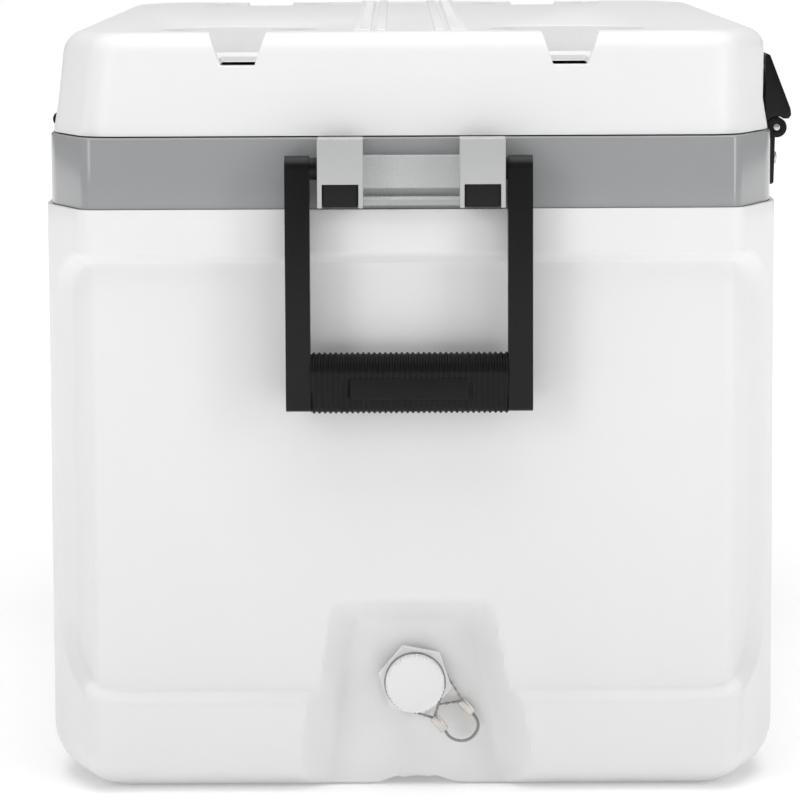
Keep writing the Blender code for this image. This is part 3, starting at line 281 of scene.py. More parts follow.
finishes = {
    "white_shell": moulded("white_shell", grey(0.82), grey(0.78), 0.42, 0.14, 1100, 0.08),
    "liner_white": moulded("liner_white", grey(0.79, -0.004), grey(0.76, -0.004), 0.24, 0.10, 300, 0.03),
    "collar_grey": moulded("collar_grey", grey(0.325, -0.005), grey(0.300, -0.005), 0.16, 0.08, 500, 0.02),
    "bracket_grey": moulded("bracket_grey", grey(0.47, -0.004), grey(0.44, -0.004), 0.26, 0.12, 700, 0.04),
    "black_plastic": moulded("black_plastic", grey(0.003), grey(0.006), 0.34, 0.18, 1500, 0.20, level=0.22),
}
print("plastics:", ", ".join(finishes))

# %% [markdown]
# ## Rubber, foam and steel
# Rubber is dark, dull and a little dusty. The foam is hidden between the skins, so a plain cell texture is
# enough. Steel takes its colour from reflections: brushing is noise stretched along one way, and the
# cable's wires are a darker, rougher steel.

# %% Rubber, foam and metals
rubber = Finish("black_rubber", Specular_IOR_Level=0.2)
dust = rubber.noise(60, 4)
rubber.feed(Base_Color=rubber.mix(dust, grey(0.003), grey(0.008)), Roughness=0.52 + (dust - 0.5) * 0.3)
rubber.bump(rubber.noise(2200, 2), 0.15, 0.0004)
finishes["black_rubber"] = rubber.material

foam = Finish("insulation", Specular_IOR_Level=0.2)
cells = foam.node("TexVoronoi", {}, {"Vector": foam.place(), "Scale": 600.0})
foam_colour = foam.mix(cells, (0.78, 0.70, 0.46, 1), (0.55, 0.47, 0.28, 1))
foam.feed(Base_Color=foam_colour, Roughness=0.8 + cells * 0.15)
foam.bump(cells, 0.5, 0.001)
finishes["insulation"] = foam.material


def metal(name, light, dark, rough, stretch, scale, depth):
    made = Finish(name, Metallic=1.0)
    brushed = made.noise(scale, 4, stretch)
    soil = made.noise(120, 3)
    made.feed(Base_Color=made.mix(soil, light, dark), Roughness=rough + (brushed - 0.5) * 0.25)
    made.bump(brushed, depth, 0.0002)
    return made.material


finishes["stainless"] = metal(
    "stainless", (0.66, 0.63, 0.60, 1), (0.50, 0.46, 0.43, 1), 0.28, (1, 1, 8), 300, 0.12
)
finishes["cable_steel"] = metal(
    "cable_steel", (0.42, 0.40, 0.38, 1), (0.26, 0.25, 0.23, 1), 0.38, (1, 1, 1), 900, 0.2
)
print("finishes:", len(finishes))

# %% [markdown]
# ## The drain's tether
# A short steel cable keeps the drain cap from being lost. It is six strands twisted round a seventh. It
# leaves one pressed sleeve, bends under its own springiness and enters the other. The route repeats the
# frame's, so the strands are wound round that line. Each strand is a curve with thickness, made a mesh.

# %% The cable's route
SPOUT_EYE_Y, CAP_EYE_Y = -0.3119, -0.3214
SLEEVES = {"spout": (0.0300, 0.0455, math.radians(48)), "cap": (0.0146, 0.0380, math.radians(52))}
LOW_POINTS = (
    (0.0355, 0.0391), (0.0366, 0.0358), (0.0357, 0.0322), (0.0326, 0.0288),
    (0.0281, 0.0274), (0.0233, 0.0284), (0.0199, 0.0308),
)
SLEEVE_LENGTH, GAP, CABLE_RADIUS = 0.010, 0.0003, 0.0009


def sleeve_mouth(place):
    x, z, slope = place
    reach = SLEEVE_LENGTH / 2 + GAP
    return (x + math.cos(slope) * reach, z - math.sin(slope) * reach)


def smooth_route(points, per_span):
    points = [Vector(p) for p in points]
    padded = [points[0] * 2 - points[1], *points, points[-1] * 2 - points[-2]]
    made = []
    for i in range(1, len(padded) - 2):
        a, b, c, d = padded[i - 1 : i + 3]
        for step in range(per_span):
            t = step / per_span
            square, cubic = 2 * a - 5 * b + 4 * c - d, 3 * b - a - 3 * c + d
            made.append(0.5 * (2 * b + (c - a) * t + square * t**2 + cubic * t**3))
    return made + [points[-1]]


flat = [sleeve_mouth(SLEEVES["spout"]), *LOW_POINTS, sleeve_mouth(SLEEVES["cap"])]
bends = [
    (x, SPOUT_EYE_Y + (CAP_EYE_Y - SPOUT_EYE_Y) * smooth_step(i / (len(flat) - 1)), z)
    for i, (x, z) in enumerate(flat)
]
cable_route = smooth_route(bends, 2)
cable_length = sum((b - a).length for a, b in zip(cable_route, cable_route[1:]))
print(f"cable: {cable_length * 1000:.1f} mm along {len(cable_route)} points")


# %% Wind the strands and lay them on the route
def twisted_cable(name, route, radius, pitch=0.0085, closed=False):
    """Six strands wound round a straight one, along a route."""
    fine = smooth_route(route, 6)
    side = (fine[1] - fine[0]).orthogonal().normalized()
    frames, length = [], 0.0
    for i, point in enumerate(fine):
        along = (fine[min(i + 1, len(fine) - 1)] - fine[max(i - 1, 0)]).normalized()
        side = (side - along * side.dot(along)).normalized()
        length += (point - fine[i - 1]).length if i else 0.0
        frames.append((point, side.copy(), along.cross(side), length))
    curve = bpy.data.curves.new(name, "CURVE")
    curve.dimensions = "3D"
    curve.bevel_depth = radius / 3 * 1.04
    curve.bevel_resolution = 1
    curve.use_fill_caps = True
    for strand in range(7):
        spline = curve.splines.new("POLY")
        spline.points.add(len(frames) - 1)
        for place, (point, u, v, far) in zip(spline.points, frames):
            angle = math.tau * (far / pitch + strand / 6)
            out = 0.0 if strand == 6 else radius * 2 / 3 * 0.96
            place.co = (*(point + (u * math.cos(angle) + v * math.sin(angle)) * out), 1.0)
    obj = bpy.data.objects.new(name, curve)
    bpy.context.scene.collection.objects.link(obj)
    only(obj)
    bpy.ops.object.convert(target="MESH")
    edit(obj)
    bpy.ops.mesh.normals_make_consistent(inside=False)
    return done(obj, 60)


cable = twisted_cable("tether_strands", cable_route, CABLE_RADIUS)
cable.data.materials.append(finishes["cable_steel"])
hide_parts("tether_cable")
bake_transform(cable)

# %% [markdown]
# ## A block with cut corners
# Body, collar and lid share one outline from above: a long box whose upright corners are cut by a flat
# facet, with a soft bend on its long side and a tighter one at the end. A cube is cut at each corner by a
# plane that throws away what is outside. Where a bottom or top edge is round, it is rounded before the
# bends, because a bend that is tighter than the rounding can't carry it.

# %% The block's maker
CUT_X, CUT_Y = 0.023, 0.053  # how much of the end and of the side each corner's facet takes
SIDE_BEND = 0.060  # radius of the bend between a facet and the long side
WALL = 0.003  # thickness of every moulded skin
SIDE_TURN = math.atan2(CUT_X, CUT_Y)
END_TURN = math.pi / 2 - SIDE_TURN


def heading(face):
    """Which way a face looks from above, as an angle, or None if it looks straight up or down."""
    if math.hypot(face.normal.x, face.normal.y) < 0.02:
        return None
    return math.atan2(face.normal.y, face.normal.x)


def turns(edge):
    """How far the wall turns at an edge, seen from above."""
    if len(edge.link_faces) != 2:
        return 0.0
    first, second = (heading(face) for face in edge.link_faces)
    if first is None or second is None:
        return 0.0
    return abs((first - second + math.pi) % math.tau - math.pi)


def level_at(item, height):
    return all(abs(v.co.z - height) < 1e-5 for v in item.verts)


def corner_block(name, half_x, half_y, low, high, end_bend, shape=None, round_at=None, round_by=0.0, rows=8):
    obj = cube(name, (-half_x, -half_y, low), (half_x, half_y, high))
    edit(obj)
    for x in (-1, 1):
        for y in (-1, 1):
            bpy.ops.mesh.select_all(action="SELECT")
            bpy.ops.mesh.bisect(
                plane_co=(x * (half_x - CUT_X), y * half_y, 0), plane_no=(x * CUT_Y, y * CUT_X, 0),
                use_fill=True, clear_outer=True,
            )
    if shape:
        shape(obj)
    if round_at is not None:
        choose(obj, lambda e: level_at(e, round_at), "EDGE")
        bpy.ops.mesh.bevel(offset=round_by, segments=rows, affect="EDGES")
    for turn, radius, count in ((SIDE_TURN, SIDE_BEND, 6), (END_TURN, end_bend, 8)):
        choose(obj, lambda e: abs(turns(e) - turn) < 0.12, "EDGE")
        setback = radius * math.tan(turn / 2)
        bpy.ops.mesh.bevel(offset=setback, segments=count, affect="EDGES", clamp_overlap=False)
    return obj


# %% [markdown]
# ## The body shell
# The body is a deep tub with a round bottom edge, a shallow sunk panel in each side, a pocket round the
# drain and a small arch in the base. Moulded steps like these have no sharp edges. Cutting them out with
# Booleans and rounding every edge would be fragile where a panel runs round a corner, so the surface is
# sliced into a fine net where the steps are, and pushed in by painted amounts.

# %% Block out and slice the tub
BODY_X, BODY_Y, BODY_TOP = 0.206, 0.330, 0.3285
body = corner_block("body_tub", BODY_X, BODY_Y, 0.0, BODY_TOP, 0.012, round_at=0.0, round_by=0.030)
rows = steps(0.033, 0.067, 0.0018) + steps(0.070, 0.124, 0.003) + steps(0.140, 0.258, 0.019)
rows += steps(0.265, 0.289, 0.003) + steps(0.2908, 0.311, 0.0018) + [0.319]
slice_at(body, "Z", rows)
slice_at(body, "X", steps(-0.081, 0.081, 0.003))
columns = steps(0.095, 0.140, 0.015) + steps(0.146, 0.171, 0.0035)
facet_columns = steps(0.188, 0.204, 0.0012)
side_columns = steps(0.222, 0.264, 0.003) + [0.12, 0.17, 0.20, 0.278, 0.290, 0.300]
for side in (-1, 1):
    slice_at(body, "X", [side * x for x in columns])
    slice_at(body, "X", [side * x for x in facet_columns])
    slice_at(body, "Y", [side * y for y in side_columns])
slice_at(body, "Y", [-0.06, 0.0, 0.06, -0.267, -0.273, -0.284])
choose(body, lambda f: level_at(f, BODY_TOP))
bpy.ops.mesh.delete(type="FACE")
only(body)
print("tub faces:", len(body.data.polygons))

# %% [markdown]
# ## Painted relief
# Each step is a mask from 0 to 1, kept as a vertex group, and a Displace modifier pushes the surface by it.
# The panels' mask is the distance to a rounded rectangle, softened over the width of the moulded ledge. The
# pocket's comes from its slopes and the arch's from a curve.

# %% Paint and push the panels, the drain's pocket and the arch
def rounded_distance(x, z, half_x, low, high, corner):
    """How far a point is outside a rounded rectangle, and negative inside."""
    across = abs(x) - (half_x - corner)
    up = abs(z - (low + high) / 2) - ((high - low) / 2 - corner)
    return math.hypot(max(across, 0), max(up, 0)) + min(max(across, up), 0) - corner


PANEL_HALF, PANEL_LOW, PANEL_HIGH = 0.2205, 0.0546, 0.3010
SIDE_PANEL_HALF = 0.2500
PANEL_CORNER, PANEL_LOW_CORNER = 0.022, 0.040  # the end panel's lower corners are wider
PANEL_LEDGE, PANEL_DEPTH = 0.0068, 0.0068
FACET_STRETCH = math.hypot(CUT_X, CUT_Y) / CUT_X  # along the facet for each step in X
CORNER_WIDTH = 1.7  # the panel's corners are wider than they are high


def panel_mask(co):
    if abs(co.y) > 0.2765:
        bend = BODY_X - CUT_X
        along = min(abs(co.x), bend) + max(abs(co.x) - bend, 0) * FACET_STRETCH
        corner = PANEL_LOW_CORNER if co.z < 0.15 else PANEL_CORNER
        outside = rounded_distance(
            along / CORNER_WIDTH, co.z, PANEL_HALF / CORNER_WIDTH, PANEL_LOW, PANEL_HIGH, corner
        )
    else:
        outside = rounded_distance(co.y, co.z, SIDE_PANEL_HALF, PANEL_LOW, PANEL_HIGH, PANEL_CORNER)
    return smooth_step(0.5 - outside / PANEL_LEDGE)


def pocket_depth(co):
    """How deep the drain's pocket is behind the end wall, from the slopes of its sides and ceiling."""
    fall = 0.1157 - co.z
    left = co.x - (-0.0494 - 0.139 * fall)
    right = (0.0473 + 0.196 * fall) - co.x
    shares = (left / 0.0185, right / 0.0185, fall / 0.0225)
    softness = 0.16
    blend = -softness * math.log(sum(math.exp(-max(min(s, 3), -3) / softness) for s in shares))
    ramp = min(max(blend + 0.06, 0.0), 1.06)
    return 0.022 * (ramp if ramp < 0.85 else 0.85 + 0.15 * math.tanh((ramp - 0.85) / 0.15))


def arch_height(co):
    across = (co.x - 0.0020) / 0.0265
    ends = smooth_step((-0.252 - co.y) / 0.020)
    return 0.0070 * max(1 - across * across, 0.0) ** 1.35 * ends


def push(obj, name, amounts, direction, strength):
    """Moves each point by its own share of the strength."""
    group = obj.vertex_groups.new(name=name)
    for index, amount in amounts.items():
        group.add([index], amount, "REPLACE")
    apply_modifier(obj, "DISPLACE", vertex_group=name, direction=direction, strength=strength, mid_level=0.0)
    obj.vertex_groups.remove(obj.vertex_groups[name])
    print(f"{name}: {len(amounts)} points moved")


def amounts_of(obj, measure):
    found = {v.index: measure(v.co) for v in obj.data.vertices}
    return {index: amount for index, amount in found.items() if amount > 1e-4}


def pocket_mask(co):
    return max(-BODY_Y + pocket_depth(co) - co.y, 0) / POCKET_PUSH if co.y < -0.29 else 0


def arch_mask(co):
    return max(arch_height(co) - co.z, 0) / ARCH_PUSH


POCKET_PUSH, ARCH_PUSH = 0.03, 0.01  # how far a mask of 1 would move a point
push(body, "panels", amounts_of(body, panel_mask), "NORMAL", -PANEL_DEPTH)
push(body, "drain_pocket", amounts_of(body, pocket_mask), "Y", POCKET_PUSH)
push(body, "base_arch", amounts_of(body, arch_mask), "Z", ARCH_PUSH)

# %% [markdown]
# ## Give the tub its wall
# Solidify turns the open skin into a 3 mm wall that is open at the top. The hole for the drain's pipe is cut
# afterwards, and the rim gets a small round edge so that it catches the light.

# %% Wall, drain hole and rim
DRAIN_X, DRAIN_Z, DRAIN_HOLE = 0.001, 0.0616, 0.0118
apply_modifier(body, "SOLIDIFY", thickness=WALL, offset=-1.0, use_even_offset=False)
boolean(body, drum("drain_hole", DRAIN_HOLE, (DRAIN_X, -0.34, DRAIN_Z), (DRAIN_X, -0.27, DRAIN_Z)))
edit(body, lambda e: level_at(e, BODY_TOP) and any(abs(f.normal.z) < 0.5 for f in e.link_faces), "EDGE")
bpy.ops.mesh.bevel(offset=0.0007, segments=2, affect="EDGES")
done(body, 40)
show(body, "root", "white_shell", "body_shell")

# %% [markdown]
# ## The collar
# A glossy grey ring stiffens the mouth of the tub and carries the handles. It is the same block with a bend
# of 8 mm, opened below, given a wall, and cut out above the room for food.

# %% Build the collar
COLLAR_X, COLLAR_Y, COLLAR_LOW, COLLAR_TOP = 0.2036, 0.3276, 0.3165, 0.3680


def narrow_skirt(obj):
    """Draws in the part that stands inside the tub."""
    slice_at(obj, "Z", [0.3283, 0.3288])
    choose(obj, lambda v: v.co.z < 0.3285, "VERT")
    bpy.ops.transform.resize(
        value=((COLLAR_X - 0.001) / COLLAR_X, (COLLAR_Y - 0.001) / COLLAR_Y, 1), center_override=(0, 0, 0)
    )


collar = corner_block(
    "collar_ring", COLLAR_X, COLLAR_Y, COLLAR_LOW, COLLAR_TOP, 0.008, narrow_skirt, COLLAR_TOP, 0.0012, 3
)
choose(collar, lambda f: level_at(f, COLLAR_LOW))
bpy.ops.mesh.delete(type="FACE")
apply_modifier(collar, "SOLIDIFY", thickness=WALL, offset=-1.0, use_even_offset=True)
opening = cube("opening", (-0.1638, -0.2828, 0.35), (0.1638, 0.2828, 0.38))
edit(opening, lambda e: abs(e.verts[0].co.z - e.verts[1].co.z) > 0.01, "EDGE")
bpy.ops.mesh.bevel(offset=0.0428, segments=16, affect="EDGES")
only(opening)
boolean(collar, opening)
done(collar, 30)
show(collar, "root", "collar_grey", "collar")

# %% [markdown]
# ## The lid
# The lid's sides lean in a little so that it leaves its mould, and its top edge is round. Four cup rests
# sink into the corners, each with a notch that lets spills run off the end. The rests and notches have true
# walls, so they are cut with Booleans, and their lips are bevelled afterwards.

# %% Block out the lid
LID_LOW, LID_WAIST, LID_TOP = 0.3688, 0.3855, 0.4255
LID_X, LID_Y = 0.2022, 0.3250
LID_SIZES = (  # height, back, front and half length of the rings above the lid's foot
    (LID_WAIST, -0.1995, 0.1996, 0.3236),
    (LID_TOP, -0.1950, 0.2004, 0.3195),
)


def lean_in(obj):
    slice_at(obj, "Z", [LID_WAIST])
    for height, back, front, half_y in LID_SIZES:
        choose(obj, lambda v: abs(v.co.z - height) < 1e-4, "VERT")
        size = ((front - back) / 2 / LID_X, half_y / LID_Y, 1)
        bpy.ops.transform.resize(value=size, center_override=(0, 0, 0))
        bpy.ops.transform.translate(value=((front + back) / 2, 0, 0))


lid = corner_block("lid_skin", LID_X, LID_Y, LID_LOW, LID_TOP, 0.020, lean_in, LID_TOP, 0.012, 8)
only(lid)
print("lid faces:", len(lid.data.polygons))

# %% Cut the cup rests and the notches
CUP_XS, CUP_Y, CUP_RADIUS, CUP_FLOOR = (-0.0958, 0.0882), 0.264, 0.045, 0.4105
NOTCH_FLOOR, NOTCH_HALF, NOTCH_SPREAD = 0.4070, 0.0095, 2.55
CUTTER_TOP = 0.45  # clear of the lid
for x in CUP_XS:
    for side in (-1, 1):
        cup = drum("cup", CUP_RADIUS, (x, side * CUP_Y, CUP_FLOOR), (x, side * CUP_Y, CUTTER_TOP), 72)
        inner, outer = sorted((side * CUP_Y, side * 0.34))
        notch = cube("notch", (x - NOTCH_HALF, inner, NOTCH_FLOOR), (x + NOTCH_HALF, outer, CUTTER_TOP))
        edit(notch, lambda v: v.co.z > 0.44, "VERT")
        bpy.ops.transform.resize(value=(NOTCH_SPREAD, 1, 1), center_override=(x, 0, 0))
        only(notch)
        boolean(lid, cup)
        boolean(lid, notch)


def lip(edge):
    """A sharp edge of a rest or a notch."""
    if len(edge.link_faces) != 2 or edge.calc_face_angle(0) < math.radians(28):
        return False
    return all(v.co.z > LID_WAIST + 0.01 for v in edge.verts)


edit(lid, lip, "EDGE")
bpy.ops.mesh.bevel(offset=0.0020, segments=3, affect="EDGES", clamp_overlap=True)
choose(lid, lambda f: level_at(f, LID_LOW))
bpy.ops.mesh.delete(type="FACE")
apply_modifier(lid, "SOLIDIFY", thickness=WALL, offset=-1.0, use_even_offset=False)
done(lid, 32)
show(lid, "lid", "white_shell", "lid_shell")

# %% [markdown]
# ## Ruler strips and keepers
# Two pairs of raised strips run down the lid for measuring a catch. The wide ones carry plain tick marks
# every 10 mm, made once and repeated with an Array. The keepers are small bars behind the tops of the
# latches.

# %% Raise the strips, their ticks and the keepers
def strip(name, low, high, round_by):
    obj = cube(name, low, high)
    edit(obj, lambda e: True, "EDGE")
    bpy.ops.mesh.bevel(offset=round_by, segments=3, affect="EDGES")
    return done(obj, 40)


RULER_HALF, RULER_ROOT, RULER_TOP = 0.302, LID_TOP - 0.0015, LID_TOP + 0.0009
RULER_WIDTHS = {"narrow": (0.0135, 0.0195), "wide": (0.022, 0.032)}
TICK_X, TICK_Y, TICK_Z = (0.0235, 0.0285), (-0.290, -0.2892), (LID_TOP + 0.0005, LID_TOP + 0.00115)
TICK_STEP, TICK_COUNT = 0.010, 59
for side, word in ((-1, "back"), (1, "front")):
    for width, (inner, outer) in RULER_WIDTHS.items():
        low, high = sorted((side * inner, side * outer))
        corners = (low, -RULER_HALF, RULER_ROOT), (high, RULER_HALF, RULER_TOP)
        show(strip(f"ruler_{width}_{word}", *corners, 0.0008), "lid", "white_shell")
    low, high = sorted(side * x for x in TICK_X)
    corners = (low, TICK_Y[0], TICK_Z[0]), (high, TICK_Y[1], TICK_Z[1])
    ticks = strip(f"ruler_ticks_{word}", *corners, 0.0001)
    apply_modifier(
        ticks, "ARRAY", count=TICK_COUNT, use_relative_offset=False, use_constant_offset=True,
        constant_offset_displace=(0, TICK_STEP, 0),
    )
    show(ticks, "lid", "white_shell")
for end, y in (("drain_end", -0.2), ("plain_end", 0.2)):
    keeper = strip(f"latch_keeper_{end}", (0.1975, y - 0.020, 0.3945), (0.2030, y + 0.020, 0.4005), 0.0010)
    show(keeper, "lid", "white_shell")


# %% [markdown]
# ## Pieces that keep the frame's shape
# Brackets, hinges, latches and pins already have the right shape in the frame, but their edges are sharp. A
# copy is merged, its flat triangles are dissolved into whole faces, and a Bevel modifier rounds what is
# left. The frame's own mesh is never touched.

# %% Soft copies
def soft_copy(node, name, round_by=0.0):
    source = frame["nodes"][node]
    obj = bpy.data.objects.new(name, source.data.copy())
    bpy.context.scene.collection.objects.link(obj)
    edit(obj)
    bpy.ops.mesh.remove_doubles(threshold=2e-6)
    bpy.ops.mesh.dissolve_limited(angle_limit=math.radians(1))
    bpy.ops.mesh.customdata_custom_splitnormals_clear()
    only(obj)
    if round_by:
        apply_modifier(
            obj, "BEVEL", width=round_by, segments=3, limit_method="ANGLE",
            angle_limit=math.radians(32), use_clamp_overlap=True, harden_normals=False,
        )
    return done(obj, 38)


BODY_OF = {node: body for body, nodes in frame["record"]["behaviour"]["bodies"].items() for node in nodes}
ENDS = ("drain_end", "plain_end")
soft_pieces = [
    ("body_liner", "liner_white", 0.0), ("lid_liner", "liner_white", 0.0),
    ("lid_gasket", "black_rubber", 0.0008),
]
for end in ENDS:
    soft_pieces += [
        (f"handle_bracket_{end}", "bracket_grey", 0.0009),
        (f"handle_bushing_{end}_left", "black_plastic", 0.0006),
        (f"handle_bushing_{end}_right", "black_plastic", 0.0006),
        (f"handle_frame_{end}", "black_plastic", 0.0016),
        (f"latch_base_{end}", "black_plastic", 0.0006),
        (f"latch_lever_{end}", "black_plastic", 0.0007),
        (f"latch_pin_{end}", "stainless", 0.0004),
        (f"hinge_body_leaf_{end}", "black_plastic", 0.0006),
        (f"hinge_lid_leaf_{end}", "black_plastic", 0.0006),
        (f"hinge_pin_{end}", "stainless", 0.0004),
    ]
soft_pieces += [
    ("drain_spout", "white_shell", 0.0005), ("drain_nut", "white_shell", 0.0006),
    ("drain_gasket", "black_rubber", 0.0003), ("drain_cap_seal", "black_rubber", 0.0003),
]
for node, finish, round_by in soft_pieces:
    show(soft_copy(node, node + "_soft", round_by), BODY_OF[node], finish, node)
for node in ("body_foam", "lid_foam"):
    frame["nodes"][node].data.materials.clear()
    frame["nodes"][node].data.materials.append(finishes["insulation"])

# %% [markdown]
# ## The grips
# A soft rubber grip is moulded round each handle's bar, with ribs 3 mm apart so that wet hands don't slip.
# One outline is extruded again and again along the bar, swelling for each rib and shrinking between ribs. A
# plain pad sits on the front.

# %% Extrude a ribbed grip
PIVOT_Y, GRIP_HALF, RIB, HANDLE_SHIFT = 0.3410, 0.0546, 0.0030, 0.0015


def arc(x, y, radius, first, last, count):
    angles = [math.radians(first + (last - first) * i / (count - 1)) for i in range(count)]
    return [(x + radius * math.cos(a), y + radius * math.sin(a)) for a in angles]


def grip(name, sign):
    outline = arc(0, 0.2410, 0.0095, -10, 190, 21) + arc(0, 0.2230, 0.0065, 190, 350, 15)
    bpy.ops.object.select_all(action="DESELECT")
    bpy.ops.mesh.primitive_circle_add(vertices=len(outline), fill_type="NGON", radius=0.01)
    obj = bpy.context.object
    obj.name = obj.data.name = name
    for vertex, (y, z) in zip(obj.data.vertices, outline):
        vertex.co = (-GRIP_HALF, y, z)
    edit(obj)
    middle = (0, 0, 0.2330)
    valley = (1, 0.90, 0.945)
    swell = tuple(1 / v for v in valley)
    bpy.ops.transform.resize(value=valley, center_override=middle)
    count = int(2 * GRIP_HALF / RIB)
    moves = ((0.30, None), (0.25, swell), (0.20, None), (0.25, valley))
    spare = (2 * GRIP_HALF / count - RIB) / RIB
    for _ in range(count):
        for share, size in moves:
            distance = RIB * (share + spare * (size is None) / 2)
            bpy.ops.mesh.extrude_region_move(TRANSFORM_OT_translate={"value": (distance, 0, 0)})
            if size:
                bpy.ops.transform.resize(value=size, center_override=middle)
    only(obj)
    obj.data.transform(Matrix.Translation((sign * HANDLE_SHIFT, sign * PIVOT_Y, 0)))
    edit(obj)
    bpy.ops.mesh.normals_make_consistent(inside=False)
    return done(obj, 50)


for end, sign in zip(ENDS, (-1, 1)):
    show(grip(f"grip_ribs_{end}", sign), f"handle_{end}", "black_rubber", f"handle_grip_{end}")
    low, high = sorted((sign * 0.3440, sign * 0.3502))
    middle = sign * HANDLE_SHIFT
    pad = strip(f"grip_pad_{end}", (middle - 0.033, low, 0.2250), (middle + 0.033, high, 0.2370), 0.0015)
    show(pad, f"handle_{end}", "black_rubber")

# %% [markdown]
# ## Screws
# Twelve pan-head screws hold the latches and hinges. One is modelled with a domed head and a cross recess,
# and copied to each place, each copy with its own mesh.

# %% Model one screw and place twelve
def screw_model():
    """A screw on the X axis, with the underside of its head at zero and its head towards +X."""
    obj = drum("screw_model", 0.0036, (0.0003, 0, 0), (0.0018, 0, 0), 32)
    edit(obj, lambda e: all(v.co.x > 0.0017 for v in e.verts), "EDGE")
    bpy.ops.mesh.bevel(offset=0.0011, segments=4, affect="EDGES")
    only(obj)
    for size in ((0.0021, 0.0004), (0.0004, 0.0021)):
        boolean(obj, cube("recess", (0.0008, -size[0], -size[1]), (0.003, size[0], size[1])))
    shank = drum("shank", 0.0018, (-0.0062, 0, 0), (0.0010, 0, 0), 20)
    boolean(obj, shank, "UNION")
    return done(obj, 35)


pattern = screw_model()
screws = sorted(node for node in frame["nodes"] if "_screw_" in node)
for node in screws:
    low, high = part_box(node)
    front = node.startswith("latch")
    seat = (high.x - 0.0018) if front else (low.x + 0.0018)
    place = Matrix.Translation((seat, (low.y + high.y) / 2, (low.z + high.z) / 2))
    driven = Matrix.Rotation(0.3 + 0.7 * screws.index(node), 4, "X")  # no two crosses are lined up
    turn = Matrix.Rotation(0 if front else math.pi, 4, "Z") @ driven
    obj = bpy.data.objects.new(node + "_pan_head", pattern.data.copy())
    bpy.context.scene.collection.objects.link(obj)
    obj.data.transform(place @ turn)
    show(obj, BODY_OF[node], "stainless", node)
bpy.data.objects.remove(pattern)

# %% [markdown]
# ## The drain cap
# The cap is a shallow cup with a knurled rim and a groove for its tether. A cylinder is sliced at each step
# of its side, the rings are drawn in by scaling, and the knurl pulls in every third column of points.

# %% Turn the cap
COLUMNS = 144


def from_axis(v):
    return math.hypot(v.co.x - DRAIN_X, v.co.z - DRAIN_Z)


def drain_cap():
    obj = drum("cap_knurled", 0.0165, (DRAIN_X, -0.3185, DRAIN_Z), (DRAIN_X, -0.3291, DRAIN_Z), COLUMNS)
    axis = (DRAIN_X, 0, DRAIN_Z)
    edit(obj, lambda e: all(v.co.y < -0.329 for v in e.verts), "EDGE")
    bpy.ops.mesh.bevel(offset=0.0014, segments=4, affect="EDGES")
    slice_at(obj, "Y", [-0.3200, -0.3204, -0.3224, -0.3228, -0.3236, -0.3270])
    choose(obj, lambda v: -0.3225 < v.co.y < -0.3203, "VERT")
    bpy.ops.transform.resize(value=(0.927, 1, 0.927), center_override=axis)

    def knurl(v):
        column = round(math.atan2(v.co.z - DRAIN_Z, v.co.x - DRAIN_X) / math.tau * COLUMNS)
        return column % 3 == 0 and v.co.y < -0.3235 and from_axis(v) > 0.0148

    choose(obj, knurl, "VERT")
    bpy.ops.transform.resize(value=(0.965, 1, 0.965), center_override=axis)
    choose(obj, lambda f: f.normal.y < -0.9 and len(f.verts) > 20)
    bpy.ops.mesh.inset(thickness=0.0008)
    bpy.ops.transform.translate(value=(0, 0.0003, 0))
    choose(obj, lambda f: f.normal.y > 0.9 and len(f.verts) > 20)
    bpy.ops.mesh.inset(thickness=0.0021)
    bpy.ops.mesh.extrude_region_move(TRANSFORM_OT_translate={"value": (0, -0.0082, 0)})
    return done(obj, 30)


show(drain_cap(), "cap", "white_shell", "drain_cap")

# %% [markdown]
# ## Eyes and sleeves of the tether
# Each end of the cable loops round the drain and comes back into an oval sleeve that is pressed flat. The
# loops are wound with the same twist as the cable, and the sleeves are short oval blocks with rounded
# edges.

# %% Wind the eyes
HUB_RADIUS, GROOVE_RADIUS = 0.0155, 0.0153


def eye_route(radius, place, y):
    x, z, slope = place
    centre = Vector((DRAIN_X, DRAIN_Z))
    along = Vector((math.cos(slope), -math.sin(slope)))
    across = Vector((math.sin(slope), math.cos(slope)))
    mouth = Vector((x, z)) - along * (SLEEVE_LENGTH / 2 - 0.001)
    spread = CABLE_RADIUS + GAP / 2
    facing = math.atan2(mouth.y - centre.y, mouth.x - centre.x)
    opening = math.acos(radius / (mouth - centre).length)
    sweep = math.tau - 2 * opening
    angles = [facing + opening + sweep * i / 27 for i in range(28)]
    loop = [centre + radius * Vector((math.cos(a), math.sin(a))) for a in angles]
    inner = mouth - along * 0.0012
    aside = across * spread
    points = [mouth + aside, inner + aside, *loop, inner - aside, mouth - aside]
    return [(p.x, y, p.y) for p in points]


for part, radius, y, body_name in (
    ("spout", HUB_RADIUS + GAP + CABLE_RADIUS, SPOUT_EYE_Y, "root"),
    ("cap", GROOVE_RADIUS + GAP + CABLE_RADIUS, CAP_EYE_Y, "cap_travel"),
):
    loop = twisted_cable(f"tether_loop_{part}", eye_route(radius, SLEEVES[part], y), CABLE_RADIUS)
    show(loop, body_name, "cable_steel", f"tether_eye_{part}")


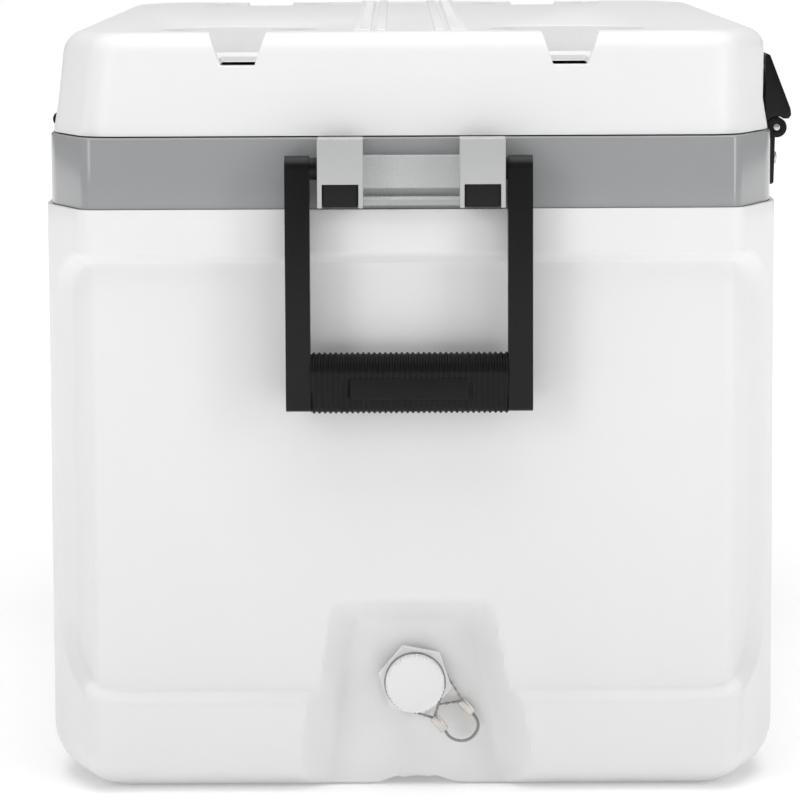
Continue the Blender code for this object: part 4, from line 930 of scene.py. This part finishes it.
# %% Press the sleeves
def sleeve(name, place, y):
    x, z, slope = place
    outline = arc(0.0012, 0, 0.0015, -90, 90, 13) + arc(-0.0012, 0, 0.0015, 90, 270, 13)
    bpy.ops.object.select_all(action="DESELECT")
    bpy.ops.mesh.primitive_circle_add(vertices=len(outline), fill_type="NGON", radius=0.002)
    obj = bpy.context.object
    obj.name = obj.data.name = name
    for vertex, (across, deep) in zip(obj.data.vertices, outline):
        vertex.co = (across, deep, -SLEEVE_LENGTH / 2)
    edit(obj)
    bpy.ops.mesh.extrude_region_move(TRANSFORM_OT_translate={"value": (0, 0, SLEEVE_LENGTH)})
    choose(obj, lambda e: len({round(v.co.z, 4) for v in e.verts}) == 1, "EDGE")
    bpy.ops.mesh.bevel(offset=0.0004, segments=3, affect="EDGES")
    bpy.ops.mesh.select_all(action="SELECT")
    bpy.ops.mesh.remove_doubles(threshold=1e-6)
    bpy.ops.mesh.normals_make_consistent(inside=False)
    only(obj)
    along = Vector((math.cos(slope), 0, -math.sin(slope)))
    across = Vector((math.sin(slope), 0, math.cos(slope)))
    turn = Matrix((across, (0, 1, 0), along)).transposed().to_4x4()
    obj.data.transform(Matrix.Translation((x, y, z)) @ turn)
    edit(obj)
    bpy.ops.mesh.normals_make_consistent(inside=False)
    return done(obj, 40)


for part, y, body_name in (("spout", SPOUT_EYE_Y, "root"), ("cap", CAP_EYE_Y, "cap_travel")):
    show(sleeve(f"tether_sleeve_{part}", SLEEVES[part], y), body_name, "stainless", f"tether_ferrule_{part}")

# %% [markdown]
# ## The studio
# A white floor that runs into a white world gives the plain background. The floor glows more with distance,
# so that it meets the world without a line and still takes a shadow near the chest. One large soft light
# hangs above, and two narrower ones at the sides draw the bright lines down its bends.

# %% Floor, world and lights
bpy.ops.object.select_all(action="DESELECT")
bpy.ops.mesh.primitive_plane_add(size=30, location=(0, 0, 0))
floor = bpy.context.object
floor.name = "floor"
floor_finish = Finish("floor_white", Specular_IOR_Level=0.0, Roughness=1.0, Emission_Strength=1.0)
floor_finish.feed(Base_Color=floor_finish.mix(floor_finish.noise(3), grey(0.95), grey(0.96)))
GLOW_NEAR, GLOW_FAR = (0.6, 0.16), (1.8, 0.80)  # distance from the middle, and how much it glows there
spot = floor_finish.node("TexCoord", output="Object")
far = floor_finish.node("VectorMath", {"operation": "LENGTH"}, {0: spot}, output=1)
share = floor_finish.node(
    "MapRange", {"interpolation_type": "SMOOTHSTEP"},
    {0: far, 1: GLOW_NEAR[0], 2: GLOW_FAR[0], 3: GLOW_NEAR[1], 4: GLOW_FAR[1]},
)
floor_finish.feed(Emission_Color=floor_finish.mix(share, grey(0.0), grey(1.0)))
floor.data.materials.append(floor_finish.material)

world = bpy.data.worlds.new("studio")
bpy.context.scene.world = world
world.use_nodes = True
sky = world.node_tree.nodes["Background"]
seen = world.node_tree.nodes.new("ShaderNodeLightPath")
blend = world.node_tree.nodes.new("ShaderNodeMapRange")
blend.inputs["To Min"].default_value = 0.24
blend.inputs["To Max"].default_value = 1.0
world.node_tree.links.new(seen.outputs["Is Camera Ray"], blend.inputs["Value"])
world.node_tree.links.new(blend.outputs["Result"], sky.inputs["Strength"])
sky.inputs["Color"].default_value = (1, 1, 1, 1)


def soft_light(name, place, aim, size, power):
    light = bpy.data.lights.new(name, "AREA")
    light.shape = "RECTANGLE"
    light.size, light.size_y = size
    light.energy = power
    obj = bpy.data.objects.new(name, light)
    bpy.context.scene.collection.objects.link(obj)
    obj.location = place
    obj.rotation_euler = (Vector(aim) - Vector(place)).to_track_quat("-Z", "Y").to_euler()
    return obj


soft_light("top", (0, -0.2, 2.4), (0, 0, 0.2), (2.6, 2.6), 54)
soft_light("front_left", (-2.0, -2.2, 1.3), (0, 0, 0.2), (0.9, 1.6), 17)
soft_light("front_right", (2.1, -1.6, 1.0), (0, 0, 0.2), (0.6, 1.6), 14)
bpy.context.scene.view_settings.view_transform = "Standard"
